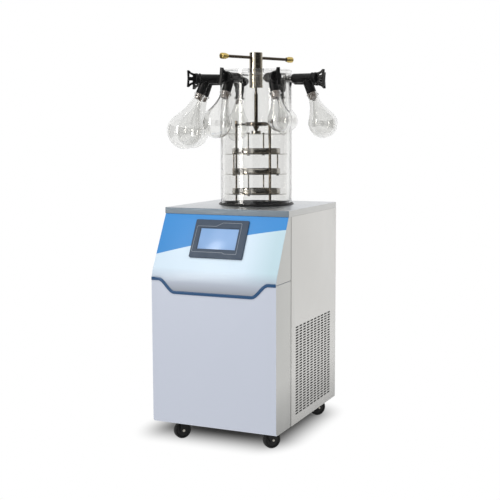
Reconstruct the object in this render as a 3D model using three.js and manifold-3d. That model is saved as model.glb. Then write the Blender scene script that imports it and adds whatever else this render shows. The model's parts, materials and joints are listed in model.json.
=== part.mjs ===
// Top-press laboratory freeze dryer: a cabinet on casters with a slanted touch panel, a cold trap
// in its stainless work top, and a clear drying chamber with eight quick-seal valves and flasks.
// Millimetres, +Z up, front towards -Y. The origin is on the floor, under the middle of the model.

import * as THREE from 'three';
import { mergeVertices } from 'three/addons/utils/BufferGeometryUtils.js';
import Module from 'manifold-3d';

const wasm = await Module();
wasm.setup();

// ---- Driving dimensions -------------------------------------------------------------------

const SEAT_GAP = 0.3; // between pieces that rest on or in each other
const FIT_GAP = 0.6; // around a round piece in its hole
const SLIDE_GAP = 1; // around a piece that slides or turns
const BITE = 1; // how far a joined shape or a cutter runs on into its neighbour

// Cabinet
const CABINET_WIDTH = 480;
const CABINET_DEPTH = 480;
const TOP_HEIGHT = 840; // floor to work top
const GROUND_CLEARANCE = 80; // floor to the underside of the cabinet
const SHEET = 2; // steel sheet of pan, sides, back and top
const TOP_EDGE = 22; // depth of the work top's turned edge
const PAN_RIM = 25;

// Front covers
const FRONT_WALL = 2.5;
const FRONT_BULGE = 110; // front panel ahead of the work top's edge
const FRONT_SEAM_SETBACK = 22.5; // from the work top's front edge to the covers' rear edge
const SLANT = THREE.MathUtils.degToRad(28); // of the upper cover, from the vertical
const BEND_RADIUS = 100; // where the slanted face turns into the vertical one
const TOE_RADIUS = 12; // rolled bottom edge

// Seam between upper cover and lower panel, high at the sides and low in the middle
const SEAM_GAP = 1;
const SEAM_DROP = 243; // seam at the sides, below the work top
const SEAM_DIP = 45; // and its middle below that
const SEAM_CURVE_INNER = 146; // half width where the curve starts
const SEAM_CURVE_OUTER = 210; // and where it ends
const TRIM_HEIGHT = 10;
const TRIM_THICKNESS = 1.6;

// Touch panel
const DISPLAY_WIDTH = 204;
const DISPLAY_HEIGHT = 143;
const DISPLAY_STAND = 6; // bezel above the slanted face
const DISPLAY_DROP = 92; // from the cover's top edge to the panel's centre, along the slant
const DISPLAY_SHIFT = 3; // panel's centre left of the cabinet's
const DISPLAY_BODY_MARGIN = 9; // bezel around the body behind it
const DISPLAY_BODY_DEPTH = 32;
const SCREEN_WIDTH = 143;
const SCREEN_HEIGHT = 78;
const SCREEN_THICKNESS = 1.5;
const BEZEL_CORNER = 5;

// Vent slots of the side panels
const VENT_COLUMNS = 10;
const VENT_ROWS = 11;
const VENT_COLUMN_PITCH = 36.2;
const VENT_ROW_PITCH = 29.1;
const VENT_LENGTH = 14;
const VENT_HEIGHT = 15;
const VENT_START_BACK = 77; // first column, from the work top's front edge
const VENT_START_UP = 44.6; // first row, above the panel's lower edge

// Back panel and inlet
const EXHAUST_COLUMNS = 3;
const EXHAUST_ROWS = 5;
const EXHAUST_LENGTH = 72;
const EXHAUST_HEIGHT = 15;
const EXHAUST_ROW_PITCH = 40;
const EXHAUST_COLUMN_PITCH = 88;
const INLET_WIDTH = 30;
const INLET_HEIGHT = 24;
const INLET_DEPTH = 26;
const INLET_WALL = 2.5;
const INLET_FLANGE = 8;
const INLET_FLANGE_THICKNESS = 2.5;
const INLET_SETBACK = 73; // inlet's middle inside the cabinet's side
const INLET_RISE = 60; // and above the cabinet's underside
const INLET_PINS = [[-7, -2], [0, 3], [7, -2]]; // across and up from the inlet's middle
const INLET_PIN_WIDTH = 2;
const INLET_PIN_HEIGHT = 4;

// Casters
const WHEEL_RADIUS = 31.4;
const WHEEL_WIDTH = 22;
const WHEEL_DISH = 3.3; // depth of the ring sunk in each side
const WHEEL_DISH_RADIUS = 22.6;
const WHEEL_TREAD_RADIUS = 28.3; // where the side turns into the tread
const WHEEL_HUB_RADIUS = 10;
const AXLE_RADIUS = 5;
const CASTER_TRAIL = 14;
const CASTER_HEADING = THREE.MathUtils.degToRad(50); // the left ones face the other way
const CASTER_SIDE_SETBACK = 77; // stem inside the cabinet's side
const CASTER_FRONT_SETBACK = 106; // behind the front panel's face
const CASTER_REAR_SETBACK = 24; // ahead of the back panel
const FORK_PLATE = 3;
const FORK_LEG_WIDTH = 24;
const FORK_HEEL = 11.4; // crown ahead of the stem's axis
const STEM_RADIUS = 6;
const STEM_HEIGHT = 14;
const COLLAR_RADIUS = 19;
const COLLAR_HEIGHT = 12;

// Chamber and everything on its axis
const AXIS_X = -1;
const AXIS_Y = 29;
const CHAMBER_TURN = THREE.MathUtils.degToRad(-3.5);
const CHAMBER_RADIUS = 132.5;
const CHAMBER_WALL = 8;
const CHAMBER_HEIGHT = 491; // work top to the top of the lid
const LID_THICKNESS = 14;
const SEAL_BASE = 6;
const SEAL_LIP = 3;
const SEAL_LIP_HEIGHT = 10;
const SEAL_OVERHANG = 7;
const TRAP_RADIUS = 107;
const TRAP_WALL = 2;
const TRAP_DEPTH = 165;
const TRAP_BEVEL = 8;
const TRAP_FLANGE = 9;
const PIPE_RADIUS = 12.5;
const PIPE_BORE = 10;
const PIPE_DROP = 60; // vacuum pipe below the work top
const PIPE_REACH = 24; // pipe end behind the back panel
const PIPE_FLANGE_RADIUS = 20;
const PIPE_FLANGE_THICKNESS = 4;

// Rack, shelves and trays
const RACK_RING_INNER = 96;
const RACK_RING_OUTER = 116;
const RACK_RING_HEIGHT = 14;
const POST_CIRCLE_RADIUS = 101;
const POST_RADIUS = 3.5;
const POST_ANGLES = [166, -32.5, 87]; // degrees from +X
const SPIDER_HEIGHT = 304; // work top to the top of the spider
const SPIDER_THICKNESS = 14;
const SPIDER_RADIUS = 40;
const SPIDER_ARM_WIDTH = 12;
const SPIDER_ARM_THICKNESS = 7;
const POST_NUT_RADIUS = 6;
const POST_NUT_HEIGHT = 8;
const SHELF_RADIUS = 115;
const SHELF_THICKNESS = 2;
const SHELF_PITCH = 73;
const PRESS_PLATE_DROP = 45; // its underside, below the spider's top
const HANGER_RADIUS = 2.5;
const HANGER_HEAD_RADIUS = 5;
const HANGER_HEAD_HEIGHT = 4;
const HANGER_ANGLES = [-78.7, 101.3]; // first and third shelf
const HANGER_ANGLES_MIDDLE = [63.9, -116.1]; // second shelf
const TRAY_RADIUS = 90;
const TRAY_HEIGHT = 21;
const TRAY_WALL = 1.5;

// Press screw and handle
const HUB_RADIUS = 24.5;
const HUB_LENGTH = 128;
const HUB_RISE = 65; // hub above the lid
const HUB_COLLAR_HEIGHT = 14;
const HUB_COLLAR_GROOVE = 2;
const SPINDLE_NECK_RADIUS = 4.5;
const SPINDLE_NECK_HEIGHT = 20;
const SPINDLE_RADIUS = 6.5;
const HANDLE_SPAN = 322; // between the middles of its two end caps
const HANDLE_SLIDE = 8; // the bar slides in its hole, and rests a little off centre
const HANDLE_BAR_RADIUS = 5.5;
const HANDLE_DROP = 19; // bar below the hub's top
const HANDLE_TURN = THREE.MathUtils.degToRad(66.1);
const HANDLE_CAP_LENGTH = 30;
const HANDLE_CAP_RADIUS = 11;
const HANDLE_CAP_BEVEL = 2;
const HANDLE_CAP_TAPER = 12; // length of its tapered inner end
const CUP_RADIUS = 18;
const CUP_HEIGHT = 12;
const CUP_WALL = 3;
const BUTTON_RADIUS = 11;
const BUTTON_HEIGHT = 4;
const CONE_RADIUS = 12;

// Valves, one to each port. Each arm is pushed by hand into its clear socket.
const PORT_DROP = 33; // ports below the lid's top
const SOCKET_WALL = 3.5;
const SOCKET_REACH = 23; // socket beyond the chamber's wall
const PORT_BORE = 10;
const ARM_RADIUS = 17;
const ARM_LENGTH = 98;
const ARM_COLLAR_RADIUS = 20;
const ARM_COLLAR_LENGTH = 6;
const SPIGOT_RADIUS = 9;
const SPIGOT_LENGTH = 25;
const BRANCH_REACH = 56; // where the branch leaves the arm, from the arm's inner end
const BRANCH_TILT = THREE.MathUtils.degToRad(22); // from straight down
const BRANCH_RADIUS = 16.5;
const BRANCH_LENGTH = 58; // from the arm's axis to the flask's mouth
const PLUG_LENGTH = 22;
const PLUG_TOP_RADIUS = 14.5;
const PLUG_END_RADIUS = 13;
const VALVE_BORE = 6;
const KNOB_BAR_LENGTH = 60;
const KNOB_BAR_WIDTH = 11;
const KNOB_REACH = 127; // knob's outer face, from the arm's inner end
const KNOB_TIP_THICKNESS = 6;
const KNOB_TIP_TAPER = 9; // length of each tip behind its thick end
const KNOB_DISH = 2; // hollow of the outer face
const KNOB_SHOULDER = 10; // half width of the knob's root
const KNOB_STEM_RADIUS = 9;
const KNOB_STEM_DEPTH = 16; // stem inside the arm's end

// Flasks: radius of the bulb, and its centre below the mouth
const FLASK_LARGE = { bulb: 66, drop: 145 };
const FLASK_MEDIUM = { bulb: 53, drop: 116 };
const FLASK_SMALL = { bulb: 43, drop: 102 };
const FLASK_SHOULDER = THREE.MathUtils.degToRad(36); // where the round bulb starts
const FLASK_SWEEP = 0.12; // how far the neck's flare is drawn in
// Ports in turn from +X: how far the arm stands out of the wall, its twist in degrees, its flask
const PORTS = [
  { out: 14, twist: 0, size: FLASK_MEDIUM },
  { out: 14, twist: 0, size: FLASK_MEDIUM },
  { out: 16, twist: 0, size: FLASK_SMALL },
  { out: 14, twist: 0, size: FLASK_MEDIUM },
  { out: 10, twist: 0, size: FLASK_LARGE },
  { out: 1, twist: -6, size: FLASK_LARGE },
  { out: 7, twist: -7, size: FLASK_MEDIUM },
  { out: 1, twist: 3, size: FLASK_SMALL },
];
const FLASK_WALL = 2.5;
const FLASK_NECK_INNER = 15.5;
const FLASK_LIP = 3;
const FLASK_LIP_HEIGHT = 7;
const FLASK_NECK_LENGTH = 24;

// Refrigeration
const COMPRESSOR_RADIUS = 75;
const COMPRESSOR_HEIGHT = 190;
const COMPRESSOR_FOOT = 10;
// Shares of its radius and height, up its side.
const COMPRESSOR_SIDE = [[0.7, 0], [0.95, 0.12], [1, 0.2], [1, 0.72], [0.9, 0.88], [0.6, 0.97], [0, 1]];
const COMPRESSOR_PLATE_SHARE = 0.8; // half depth of its foot plate, in radii
const COMPRESSOR_FOOT_SHARE = 0.65; // its feet's place across that depth, in radii
const COMPRESSOR_SIDE_SETBACK = 133; // its axis inside the cabinet's side
const COMPRESSOR_FRONT_SETBACK = 77; // and behind the work top's front edge
const CONDENSER_WIDTH = 250;
const CONDENSER_HEIGHT = 250;
const CONDENSER_DEPTH = 40;
const CONDENSER_FINS = 8;
const CONDENSER_FRAME = 8;
const CONDENSER_GAP_SHARE = 0.6; // gap between fins, in fin pitches
const CONDENSER_SIDE_SETBACK = 183; // its middle inside the cabinet's side
const CONDENSER_BACK_SPACE = 92; // fin block behind face to the back panel
const SHROUD_DEPTH = 34;
const FAN_RADIUS = 104;
const FAN_TIP_GAP = 6;
const FAN_HUB_RADIUS = 22;
const FAN_HUB_LENGTH = 18;
const FAN_BLADES = 5;
const FAN_PITCH = THREE.MathUtils.degToRad(28);
const FAN_BLADE_CHORD = 46;
const FAN_BLADE_SETBACK = 6; // square blade end inside the fan's circle
const FAN_BLADE_THICKNESS = 2.5;
const FAN_SHAFT_RADIUS = 4;
const FAN_MOTOR_RADIUS = 26;
const FAN_MOTOR_LENGTH = 34;
const FAN_BRACKET_WIDTH = 16;
const FAN_BRACKET_THICKNESS = 4;

// Facets of round pieces
const ROUND_LARGE = 24;
const ROUND_MEDIUM = 14;
const ROUND_VALVE = 10;
const ROUND_SMALL = 8;
const ROUND_TINY = 6;
const BEND_STEPS = 5;
const TOE_STEPS = 3;
const SEAM_STEPS = 7;
const CORNER_STEPS = 3;
const FLARE_STEPS = 2;
const BULB_STEPS = 5;

// ---- Derived places -----------------------------------------------------------------------

const HALF_WIDTH = CABINET_WIDTH / 2;
const SEAM_SIDE_HEIGHT = TOP_HEIGHT - SEAM_DROP;
const SEAM_MIDDLE_HEIGHT = SEAM_SIDE_HEIGHT - SEAM_DIP;
const CHAMBER_TOP = TOP_HEIGHT + CHAMBER_HEIGHT;
const PORT_HEIGHT = CHAMBER_TOP - PORT_DROP;
const FRONT_EDGE = -CABINET_DEPTH / 2;
const BACK_EDGE = CABINET_DEPTH / 2;
const FRONT_FACE = FRONT_EDGE - FRONT_BULGE;
const COVER_HALF_WIDTH = HALF_WIDTH - SHEET;
const COVER_TOP = TOP_HEIGHT - TOP_EDGE - SEAT_GAP;
const COVER_BACK = FRONT_EDGE + FRONT_SEAM_SETBACK;
const SIDE_FRONT = COVER_BACK + 2 * SEAT_GAP;
const BACK_FRONT = BACK_EDGE - SHEET;
const BEND_HEIGHT = COVER_TOP
  + (Math.cos(SLANT) * (FRONT_FACE + BEND_RADIUS - FRONT_EDGE) - BEND_RADIUS) / Math.sin(SLANT);
const TRAP_FLANGE_TOP = TOP_HEIGHT + SEAT_GAP + TRAP_WALL;
const SEAL_TOP = TOP_HEIGHT + SEAT_GAP + SEAL_BASE;
const CHAMBER_INNER = CHAMBER_RADIUS - CHAMBER_WALL;
const RACK_BOTTOM = TRAP_FLANGE_TOP + SEAT_GAP;
const SPIDER_TOP = TOP_HEIGHT + SPIDER_HEIGHT;
const SPIDER_BOTTOM = SPIDER_TOP - SPIDER_THICKNESS;
const SPIDER_MIDDLE = SPIDER_TOP - SPIDER_THICKNESS / 2;
const PRESS_PLATE_Z = SPIDER_TOP - PRESS_PLATE_DROP;
const HUB_TOP = CHAMBER_TOP + HUB_RISE;
const HUB_BOTTOM = HUB_TOP - HUB_LENGTH;
const HANDLE_HEIGHT = HUB_TOP - HANDLE_DROP;
const PIPE_HEIGHT = TOP_HEIGHT - PIPE_DROP;
const PIPE_END = BACK_EDGE + PIPE_REACH;
const CUP_TOP = PRESS_PLATE_Z + SHELF_THICKNESS + CUP_HEIGHT;
const FAN_Y = BACK_EDGE - CONDENSER_BACK_SPACE + SHROUD_DEPTH / 2;
const CONDENSER_BOTTOM = GROUND_CLEARANCE + SHEET + SEAT_GAP;
const FAN_Z = CONDENSER_BOTTOM + CONDENSER_HEIGHT / 2;
const CONDENSER_X = HALF_WIDTH - CONDENSER_SIDE_SETBACK;
const INLET_X = INLET_SETBACK - HALF_WIDTH;
const INLET_Z = GROUND_CLEARANCE + INLET_RISE;

// ---- Finishes -----------------------------------------------------------------------------

const finish = (color, roughness, metalness, opacity = 1) => new THREE.MeshStandardMaterial({
  color, roughness, metalness, opacity, transparent: opacity < 1,
});
const WHITE_PAINT = finish(0xe4e7ee, 0.4, 0);
const PANEL_PAINT = finish(0xc9cfdb, 0.4, 0);
const SIDE_PAINT = finish(0xc4c4c2, 0.55, 0.2);
const STRIPE_BLUE = finish(0x27405f, 0.4, 0);
const STAINLESS = finish(0xc8cccf, 0.35, 0.9);
const POLISHED = finish(0xa8a6a0, 0.2, 1);
const ACRYLIC = finish(0xf0f4f6, 0.05, 0, 0.25);
const GLASS = finish(0xe6eaea, 0.03, 0, 0.3);
const RUBBER = finish(0x141414, 0.7, 0);
const BLACK_PLASTIC = finish(0x101010, 0.45, 0);
const SLATE = finish(0x3c4654, 0.5, 0);
const SCREEN_GLASS = finish(0xa9c4ea, 0.15, 0);
const BRASS = finish(0xb08a4a, 0.3, 1);
const BLACK_ENAMEL = finish(0x1c1c1e, 0.4, 0.3);
const FIN_METAL = finish(0xb9bcbf, 0.4, 0.9);

// ---- Geometry helpers ---------------------------------------------------------------------

// A closed solid from a geometry whose equal corners are joined.
function solid(geometry) {
  const bare = new THREE.BufferGeometry();
  bare.setAttribute('position', geometry.getAttribute('position').clone());
  bare.setIndex(geometry.getIndex());
  const joined = mergeVertices(bare, 1e-4);
  const index = joined.getIndex().array;
  const corners = [];
  for (let i = 0; i < index.length; i += 3) {
    const [a, b, c] = [index[i], index[i + 1], index[i + 2]];
    if (a !== b && b !== c && c !== a) corners.push(a, b, c);
  }
  return new wasm.Manifold(new wasm.Mesh({
    numProp: 3,
    vertProperties: Float32Array.from(joined.getAttribute('position').array),
    triVerts: Uint32Array.from(corners),
  }));
}

function unsolid(manifold) {
  const mesh = manifold.getMesh();
  const geometry = new THREE.BufferGeometry();
  geometry.setAttribute('position', new THREE.BufferAttribute(mesh.vertProperties, 3));
  geometry.setIndex(new THREE.BufferAttribute(mesh.triVerts, 1));
  return geometry;
}

function join(...pieces) {
  return unsolid(pieces.map(solid).reduce((a, b) => a.add(b)));
}

function cut(piece, ...tools) {
  return unsolid(tools.map(solid).reduce((a, b) => a.subtract(b), solid(piece)));
}

function common(piece, other) {
  return unsolid(solid(piece).intersect(solid(other)));
}

function block(x0, x1, y0, y1, z0, z1) {
  const geometry = new THREE.BoxGeometry(x1 - x0, y1 - y0, z1 - z0);
  return geometry.translate((x0 + x1) / 2, (y0 + y1) / 2, (z0 + z1) / 2);
}

// Turned solid about Z. The profile is a list of [radius, height], from bottom to top up its
// outside, and either starts and ends on the axis or is closed by going down its inside.
function turned(profile, facets) {
  const points = profile.map(([r, z]) => new THREE.Vector2(r, z));
  const closed = profile[0][0] > 0;
  if (closed) points.push(points[0].clone());
  return new THREE.LatheGeometry(points, facets).rotateX(Math.PI / 2);
}

function disc(radius, z0, z1, facets) {
  return turned([[0, z0], [radius, z0], [radius, z1], [0, z1]], facets);
}

// The same disc, lying along +X or +Y instead of +Z.
const alongX = (geometry) => geometry.rotateY(Math.PI / 2);
const alongY = (geometry) => geometry.rotateX(-Math.PI / 2);

// Outline in the (y, z) plane, extruded across the cabinet.
function extrudeAcross(outline, halfWidth) {
  const shape = new THREE.Shape(outline.map(([y, z]) => new THREE.Vector2(y, z)));
  const geometry = new THREE.ExtrudeGeometry(shape, { depth: 2 * halfWidth, bevelEnabled: false });
  const basis = new THREE.Matrix4().makeBasis(
    new THREE.Vector3(0, 1, 0), new THREE.Vector3(0, 0, 1), new THREE.Vector3(1, 0, 0));
  return geometry.translate(0, 0, -halfWidth).applyMatrix4(basis);
}

// Outline in the (x, z) plane, extruded from y1 forward to y0.
function extrudeForward(shape, y0, y1) {
  const geometry = new THREE.ExtrudeGeometry(shape, { depth: y1 - y0, bevelEnabled: false });
  const basis = new THREE.Matrix4().makeBasis(
    new THREE.Vector3(1, 0, 0), new THREE.Vector3(0, 0, 1), new THREE.Vector3(0, -1, 0));
  return geometry.applyMatrix4(basis).translate(0, y1, 0);
}

function arc(cy, cz, radius, from, to, steps) {
  return Array.from({ length: steps + 1 }, (_, i) => {
    const angle = from + (to - from) * i / steps;
    return [cy + radius * Math.cos(angle), cz + radius * Math.sin(angle)];
  });
}

const polar = (radius, degrees) => {
  const angle = THREE.MathUtils.degToRad(degrees);
  return [radius * Math.cos(angle), radius * Math.sin(angle)];
};

function mesh(name, geometry, material) {
  const piece = new THREE.Mesh(geometry, material);
  piece.name = name;
  return piece;
}

// ---- Cabinet ------------------------------------------------------------------------------

// Outline of the front section from the side. The inner one lies a wall further in, and runs
// out past the open back and bottom.
function frontOutline(wall) {
  const past = wall > 0 ? SEAT_GAP + FRONT_WALL : 0;
  const slantTop = [FRONT_EDGE + wall * (1 - Math.sin(SLANT)) / Math.cos(SLANT), COVER_TOP - wall];
  const toe = arc(FRONT_FACE + TOE_RADIUS, GROUND_CLEARANCE + TOE_RADIUS, TOE_RADIUS - wall,
    -Math.PI / 2, -Math.PI, TOE_STEPS);
  const bend = arc(FRONT_FACE + BEND_RADIUS, BEND_HEIGHT, BEND_RADIUS - wall,
    Math.PI, Math.PI - SLANT, BEND_STEPS);
  return [
    [COVER_BACK + past, GROUND_CLEARANCE - past],
    ...(wall > 0 ? [[FRONT_FACE + TOE_RADIUS, GROUND_CLEARANCE - past]] : []),
    ...toe, ...bend, slantTop, [COVER_BACK + past, COVER_TOP - wall],
  ];
}

function frontShell() {
  const outer = extrudeAcross(frontOutline(0), COVER_HALF_WIDTH);
  const inner = extrudeAcross(frontOutline(FRONT_WALL), COVER_HALF_WIDTH - FRONT_WALL);
  return cut(outer, inner);
}

// Points of the seam line, pushed up by a distance at right angles to it.
function seamLine(offset, reach) {
  const rise = SEAM_SIDE_HEIGHT - SEAM_MIDDLE_HEIGHT;
  const run = SEAM_CURVE_OUTER - SEAM_CURVE_INNER;
  const half = [];
  for (let i = 0; i <= SEAM_STEPS; i++) {
    const t = i / SEAM_STEPS;
    const slope = rise / run * Math.PI / 2 * Math.sin(Math.PI * t);
    const length = Math.hypot(1, slope);
    half.push([
      SEAM_CURVE_INNER + run * t - offset * slope / length,
      SEAM_MIDDLE_HEIGHT + rise * (1 - Math.cos(Math.PI * t)) / 2 + offset / length,
    ]);
  }
  half.push([reach, SEAM_SIDE_HEIGHT + offset]);
  const left = half.map(([x, z]) => [-x, z]).reverse();
  return [...left, ...half].map(([x, z]) => new THREE.Vector2(x, z));
}

// Everything above (or below) the seam line, as a block right through the front section.
function seamSide(offset, farHeight) {
  const reach = HALF_WIDTH + SHEET;
  const points = seamLine(offset, reach);
  points.push(new THREE.Vector2(reach, farHeight), new THREE.Vector2(-reach, farHeight));
  return extrudeForward(new THREE.Shape(points), FRONT_FACE - BEND_RADIUS, COVER_BACK + BEND_RADIUS);
}

function displayPlace(piece) {
  piece.position.set(-DISPLAY_SHIFT, FRONT_EDGE - DISPLAY_DROP * Math.sin(SLANT),
    COVER_TOP - DISPLAY_DROP * Math.cos(SLANT));
  piece.rotation.x = Math.PI / 2 - SLANT;
  piece.updateMatrix();
  return piece;
}

function displayBody(margin, depth, top) {
  const halfWidth = DISPLAY_WIDTH / 2 - DISPLAY_BODY_MARGIN + margin;
  const halfHeight = DISPLAY_HEIGHT / 2 - DISPLAY_BODY_MARGIN + margin;
  return block(-halfWidth, halfWidth, -halfHeight, halfHeight, -depth, top);
}

function upperFrontCover() {
  const above = common(frontShell(), seamSide(SEAM_GAP / 2, TOP_HEIGHT));
  const place = displayPlace(new THREE.Object3D());
  const window = displayBody(FIT_GAP, DISPLAY_BODY_DEPTH, DISPLAY_STAND).applyMatrix4(place.matrix);
  return mesh('upper_front_cover', cut(above, window), WHITE_PAINT);
}

function lowerFrontPanel() {
  const below = common(frontShell(), seamSide(-SEAM_GAP / 2, 0));
  return mesh('lower_front_panel', below, PANEL_PAINT);
}

function accentTrim() {
  const reach = COVER_HALF_WIDTH - SEAM_GAP;
  const top = seamLine(TRIM_HEIGHT / 2, reach);
  const bottom = seamLine(-TRIM_HEIGHT / 2, reach).reverse();
  const back = FRONT_FACE - SEAT_GAP;
  const ribbon = extrudeForward(new THREE.Shape([...top, ...bottom]), back - TRIM_THICKNESS, back);
  return mesh('accent_trim', ribbon, STRIPE_BLUE);
}

function roundedRectangle(width, height, radius) {
  const shape = new THREE.Shape();
  const [w, h] = [width / 2 - radius, height / 2 - radius];
  shape.absarc(w, h, radius, 0, Math.PI / 2);
  shape.absarc(-w, h, radius, Math.PI / 2, Math.PI);
  shape.absarc(-w, -h, radius, Math.PI, 3 * Math.PI / 2);
  shape.absarc(w, -h, radius, 3 * Math.PI / 2, 2 * Math.PI);
  return shape;
}

function displayHousing() {
  const bezel = new THREE.ExtrudeGeometry(
    roundedRectangle(DISPLAY_WIDTH, DISPLAY_HEIGHT, BEZEL_CORNER),
    { depth: DISPLAY_STAND - SEAT_GAP, bevelEnabled: false, curveSegments: CORNER_STEPS });
  bezel.translate(0, 0, SEAT_GAP);
  const [w, h] = [SCREEN_WIDTH / 2 + SEAT_GAP, SCREEN_HEIGHT / 2 + SEAT_GAP];
  const floor = DISPLAY_STAND - SCREEN_THICKNESS - 2 * SEAT_GAP;
  const pocket = block(-w, w, -h, h, floor, DISPLAY_STAND + BITE);
  const body = displayBody(0, DISPLAY_BODY_DEPTH, DISPLAY_STAND / 2);
  return displayPlace(mesh('display_housing', cut(join(bezel, body), pocket), SLATE));
}

function displayGlass() {
  const [w, h] = [SCREEN_WIDTH / 2, SCREEN_HEIGHT / 2];
  const top = DISPLAY_STAND - SEAT_GAP;
  return displayPlace(mesh('display_glass', block(-w, w, -h, h, top - SCREEN_THICKNESS, top), SCREEN_GLASS));
}

function topPlate() {
  const skin = TOP_HEIGHT - SHEET;
  const outer = block(-HALF_WIDTH, HALF_WIDTH, FRONT_EDGE, BACK_EDGE, TOP_HEIGHT - TOP_EDGE, TOP_HEIGHT);
  const inside = block(-HALF_WIDTH + SHEET, HALF_WIDTH - SHEET, FRONT_EDGE + SHEET, BACK_FRONT,
    TOP_HEIGHT - 2 * TOP_EDGE, skin);
  const hole = disc(TRAP_RADIUS + TRAP_WALL + FIT_GAP, skin - BITE, TOP_HEIGHT + BITE, ROUND_LARGE);
  return mesh('top_plate', cut(outer, inside, hole.translate(AXIS_X, AXIS_Y, 0)), STAINLESS);
}

// Places of a grid of slots: [across, up] of each slot's middle, about the grid's middle.
function slotGrid(columns, rows, columnPitch, rowPitch) {
  const places = [];
  for (let column = 0; column < columns; column++) {
    for (let row = 0; row < rows; row++) {
      places.push([(column - (columns - 1) / 2) * columnPitch, (row - (rows - 1) / 2) * rowPitch]);
    }
  }
  return places;
}

function sidePanel(name, side) {
  const near = side > 0 ? COVER_HALF_WIDTH : -HALF_WIDTH;
  const sheet = block(near, near + SHEET, SIDE_FRONT, BACK_EDGE, GROUND_CLEARANCE, COVER_TOP);
  const middleY = FRONT_EDGE + VENT_START_BACK + (VENT_COLUMNS - 1) / 2 * VENT_COLUMN_PITCH;
  const middleZ = GROUND_CLEARANCE + VENT_START_UP + (VENT_ROWS - 1) / 2 * VENT_ROW_PITCH;
  const slots = slotGrid(VENT_COLUMNS, VENT_ROWS, VENT_COLUMN_PITCH, VENT_ROW_PITCH).map(([y, z]) => (
    block(near - BITE, near + SHEET + BITE, middleY + y - VENT_LENGTH / 2, middleY + y + VENT_LENGTH / 2,
      middleZ + z - VENT_HEIGHT / 2, middleZ + z + VENT_HEIGHT / 2)));
  return mesh(name, cut(sheet, ...slots), SIDE_PAINT);
}

function backPanel() {
  const half = COVER_HALF_WIDTH - SEAT_GAP;
  const sheet = block(-half, half, BACK_FRONT, BACK_EDGE, GROUND_CLEARANCE, COVER_TOP);
  const through = (x0, x1, z0, z1) => block(x0, x1, BACK_FRONT - BITE, BACK_EDGE + BITE, z0, z1);
  const grid = slotGrid(EXHAUST_COLUMNS, EXHAUST_ROWS, EXHAUST_COLUMN_PITCH, EXHAUST_ROW_PITCH);
  const slots = grid.map(([x, z]) => through(
    CONDENSER_X + x - EXHAUST_LENGTH / 2, CONDENSER_X + x + EXHAUST_LENGTH / 2,
    FAN_Z + z - EXHAUST_HEIGHT / 2, FAN_Z + z + EXHAUST_HEIGHT / 2));
  const inletHole = through(INLET_X - INLET_WIDTH / 2 - SEAT_GAP, INLET_X + INLET_WIDTH / 2 + SEAT_GAP,
    INLET_Z - INLET_HEIGHT / 2 - SEAT_GAP, INLET_Z + INLET_HEIGHT / 2 + SEAT_GAP);
  const pipeHole = alongY(disc(PIPE_FLANGE_RADIUS + FIT_GAP, -SHEET, SHEET, ROUND_MEDIUM));
  pipeHole.translate(AXIS_X, BACK_EDGE - SHEET / 2, PIPE_HEIGHT);
  return mesh('back_panel', cut(sheet, ...slots, inletHole, pipeHole), SIDE_PAINT);
}

function basePan() {
  const narrow = COVER_HALF_WIDTH - FRONT_WALL - SEAT_GAP;
  const wide = COVER_HALF_WIDTH - SEAT_GAP;
  const front = FRONT_FACE + TOE_RADIUS + SEAT_GAP;
  const back = BACK_FRONT - SEAT_GAP;
  const [low, high] = [GROUND_CLEARANCE, GROUND_CLEARANCE + PAN_RIM];
  const outer = join(block(-narrow, narrow, front, SIDE_FRONT + SHEET, low, high),
    block(-wide, wide, SIDE_FRONT, back, low, high));
  const well = join(
    block(-narrow + SHEET, narrow - SHEET, front + SHEET, SIDE_FRONT + 2 * SHEET, low + SHEET, high + SHEET),
    block(-wide + SHEET, wide - SHEET, SIDE_FRONT + SHEET, back - SHEET, low + SHEET, high + SHEET));
  const sockets = casterPlaces().map(([x, y]) => (
    disc(STEM_RADIUS + FIT_GAP, low - BITE, low + SHEET + BITE, ROUND_SMALL).translate(x, y, 0)));
  return mesh('base_pan', cut(outer, well, ...sockets), SIDE_PAINT);
}

function powerInlet() {
  const [w, h] = [INLET_WIDTH / 2, INLET_HEIGHT / 2];
  const flangeFront = BACK_EDGE + SEAT_GAP;
  const flangeBack = flangeFront + INLET_FLANGE_THICKNESS;
  const floor = BACK_EDGE - INLET_DEPTH + INLET_WALL;
  const flange = block(-w - INLET_FLANGE, w + INLET_FLANGE, flangeFront, flangeBack,
    -h - INLET_FLANGE / 2, h + INLET_FLANGE / 2);
  const body = block(-w, w, BACK_EDGE - INLET_DEPTH, flangeBack, -h, h);
  const recess = block(-w + INLET_WALL, w - INLET_WALL, floor, flangeBack + BITE,
    -h + INLET_WALL, h - INLET_WALL);
  const [pinWidth, pinHeight] = [INLET_PIN_WIDTH / 2, INLET_PIN_HEIGHT / 2];
  const pins = INLET_PINS.map(([x, z]) => (
    block(x - pinWidth, x + pinWidth, floor - BITE, BACK_EDGE - INLET_WALL, z - pinHeight, z + pinHeight)));
  const piece = mesh('power_inlet', join(cut(join(flange, body), recess), ...pins), BLACK_PLASTIC);
  piece.position.set(INLET_X, 0, INLET_Z);
  return piece;
}

// ---- Refrigeration ------------------------------------------------------------------------

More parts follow.
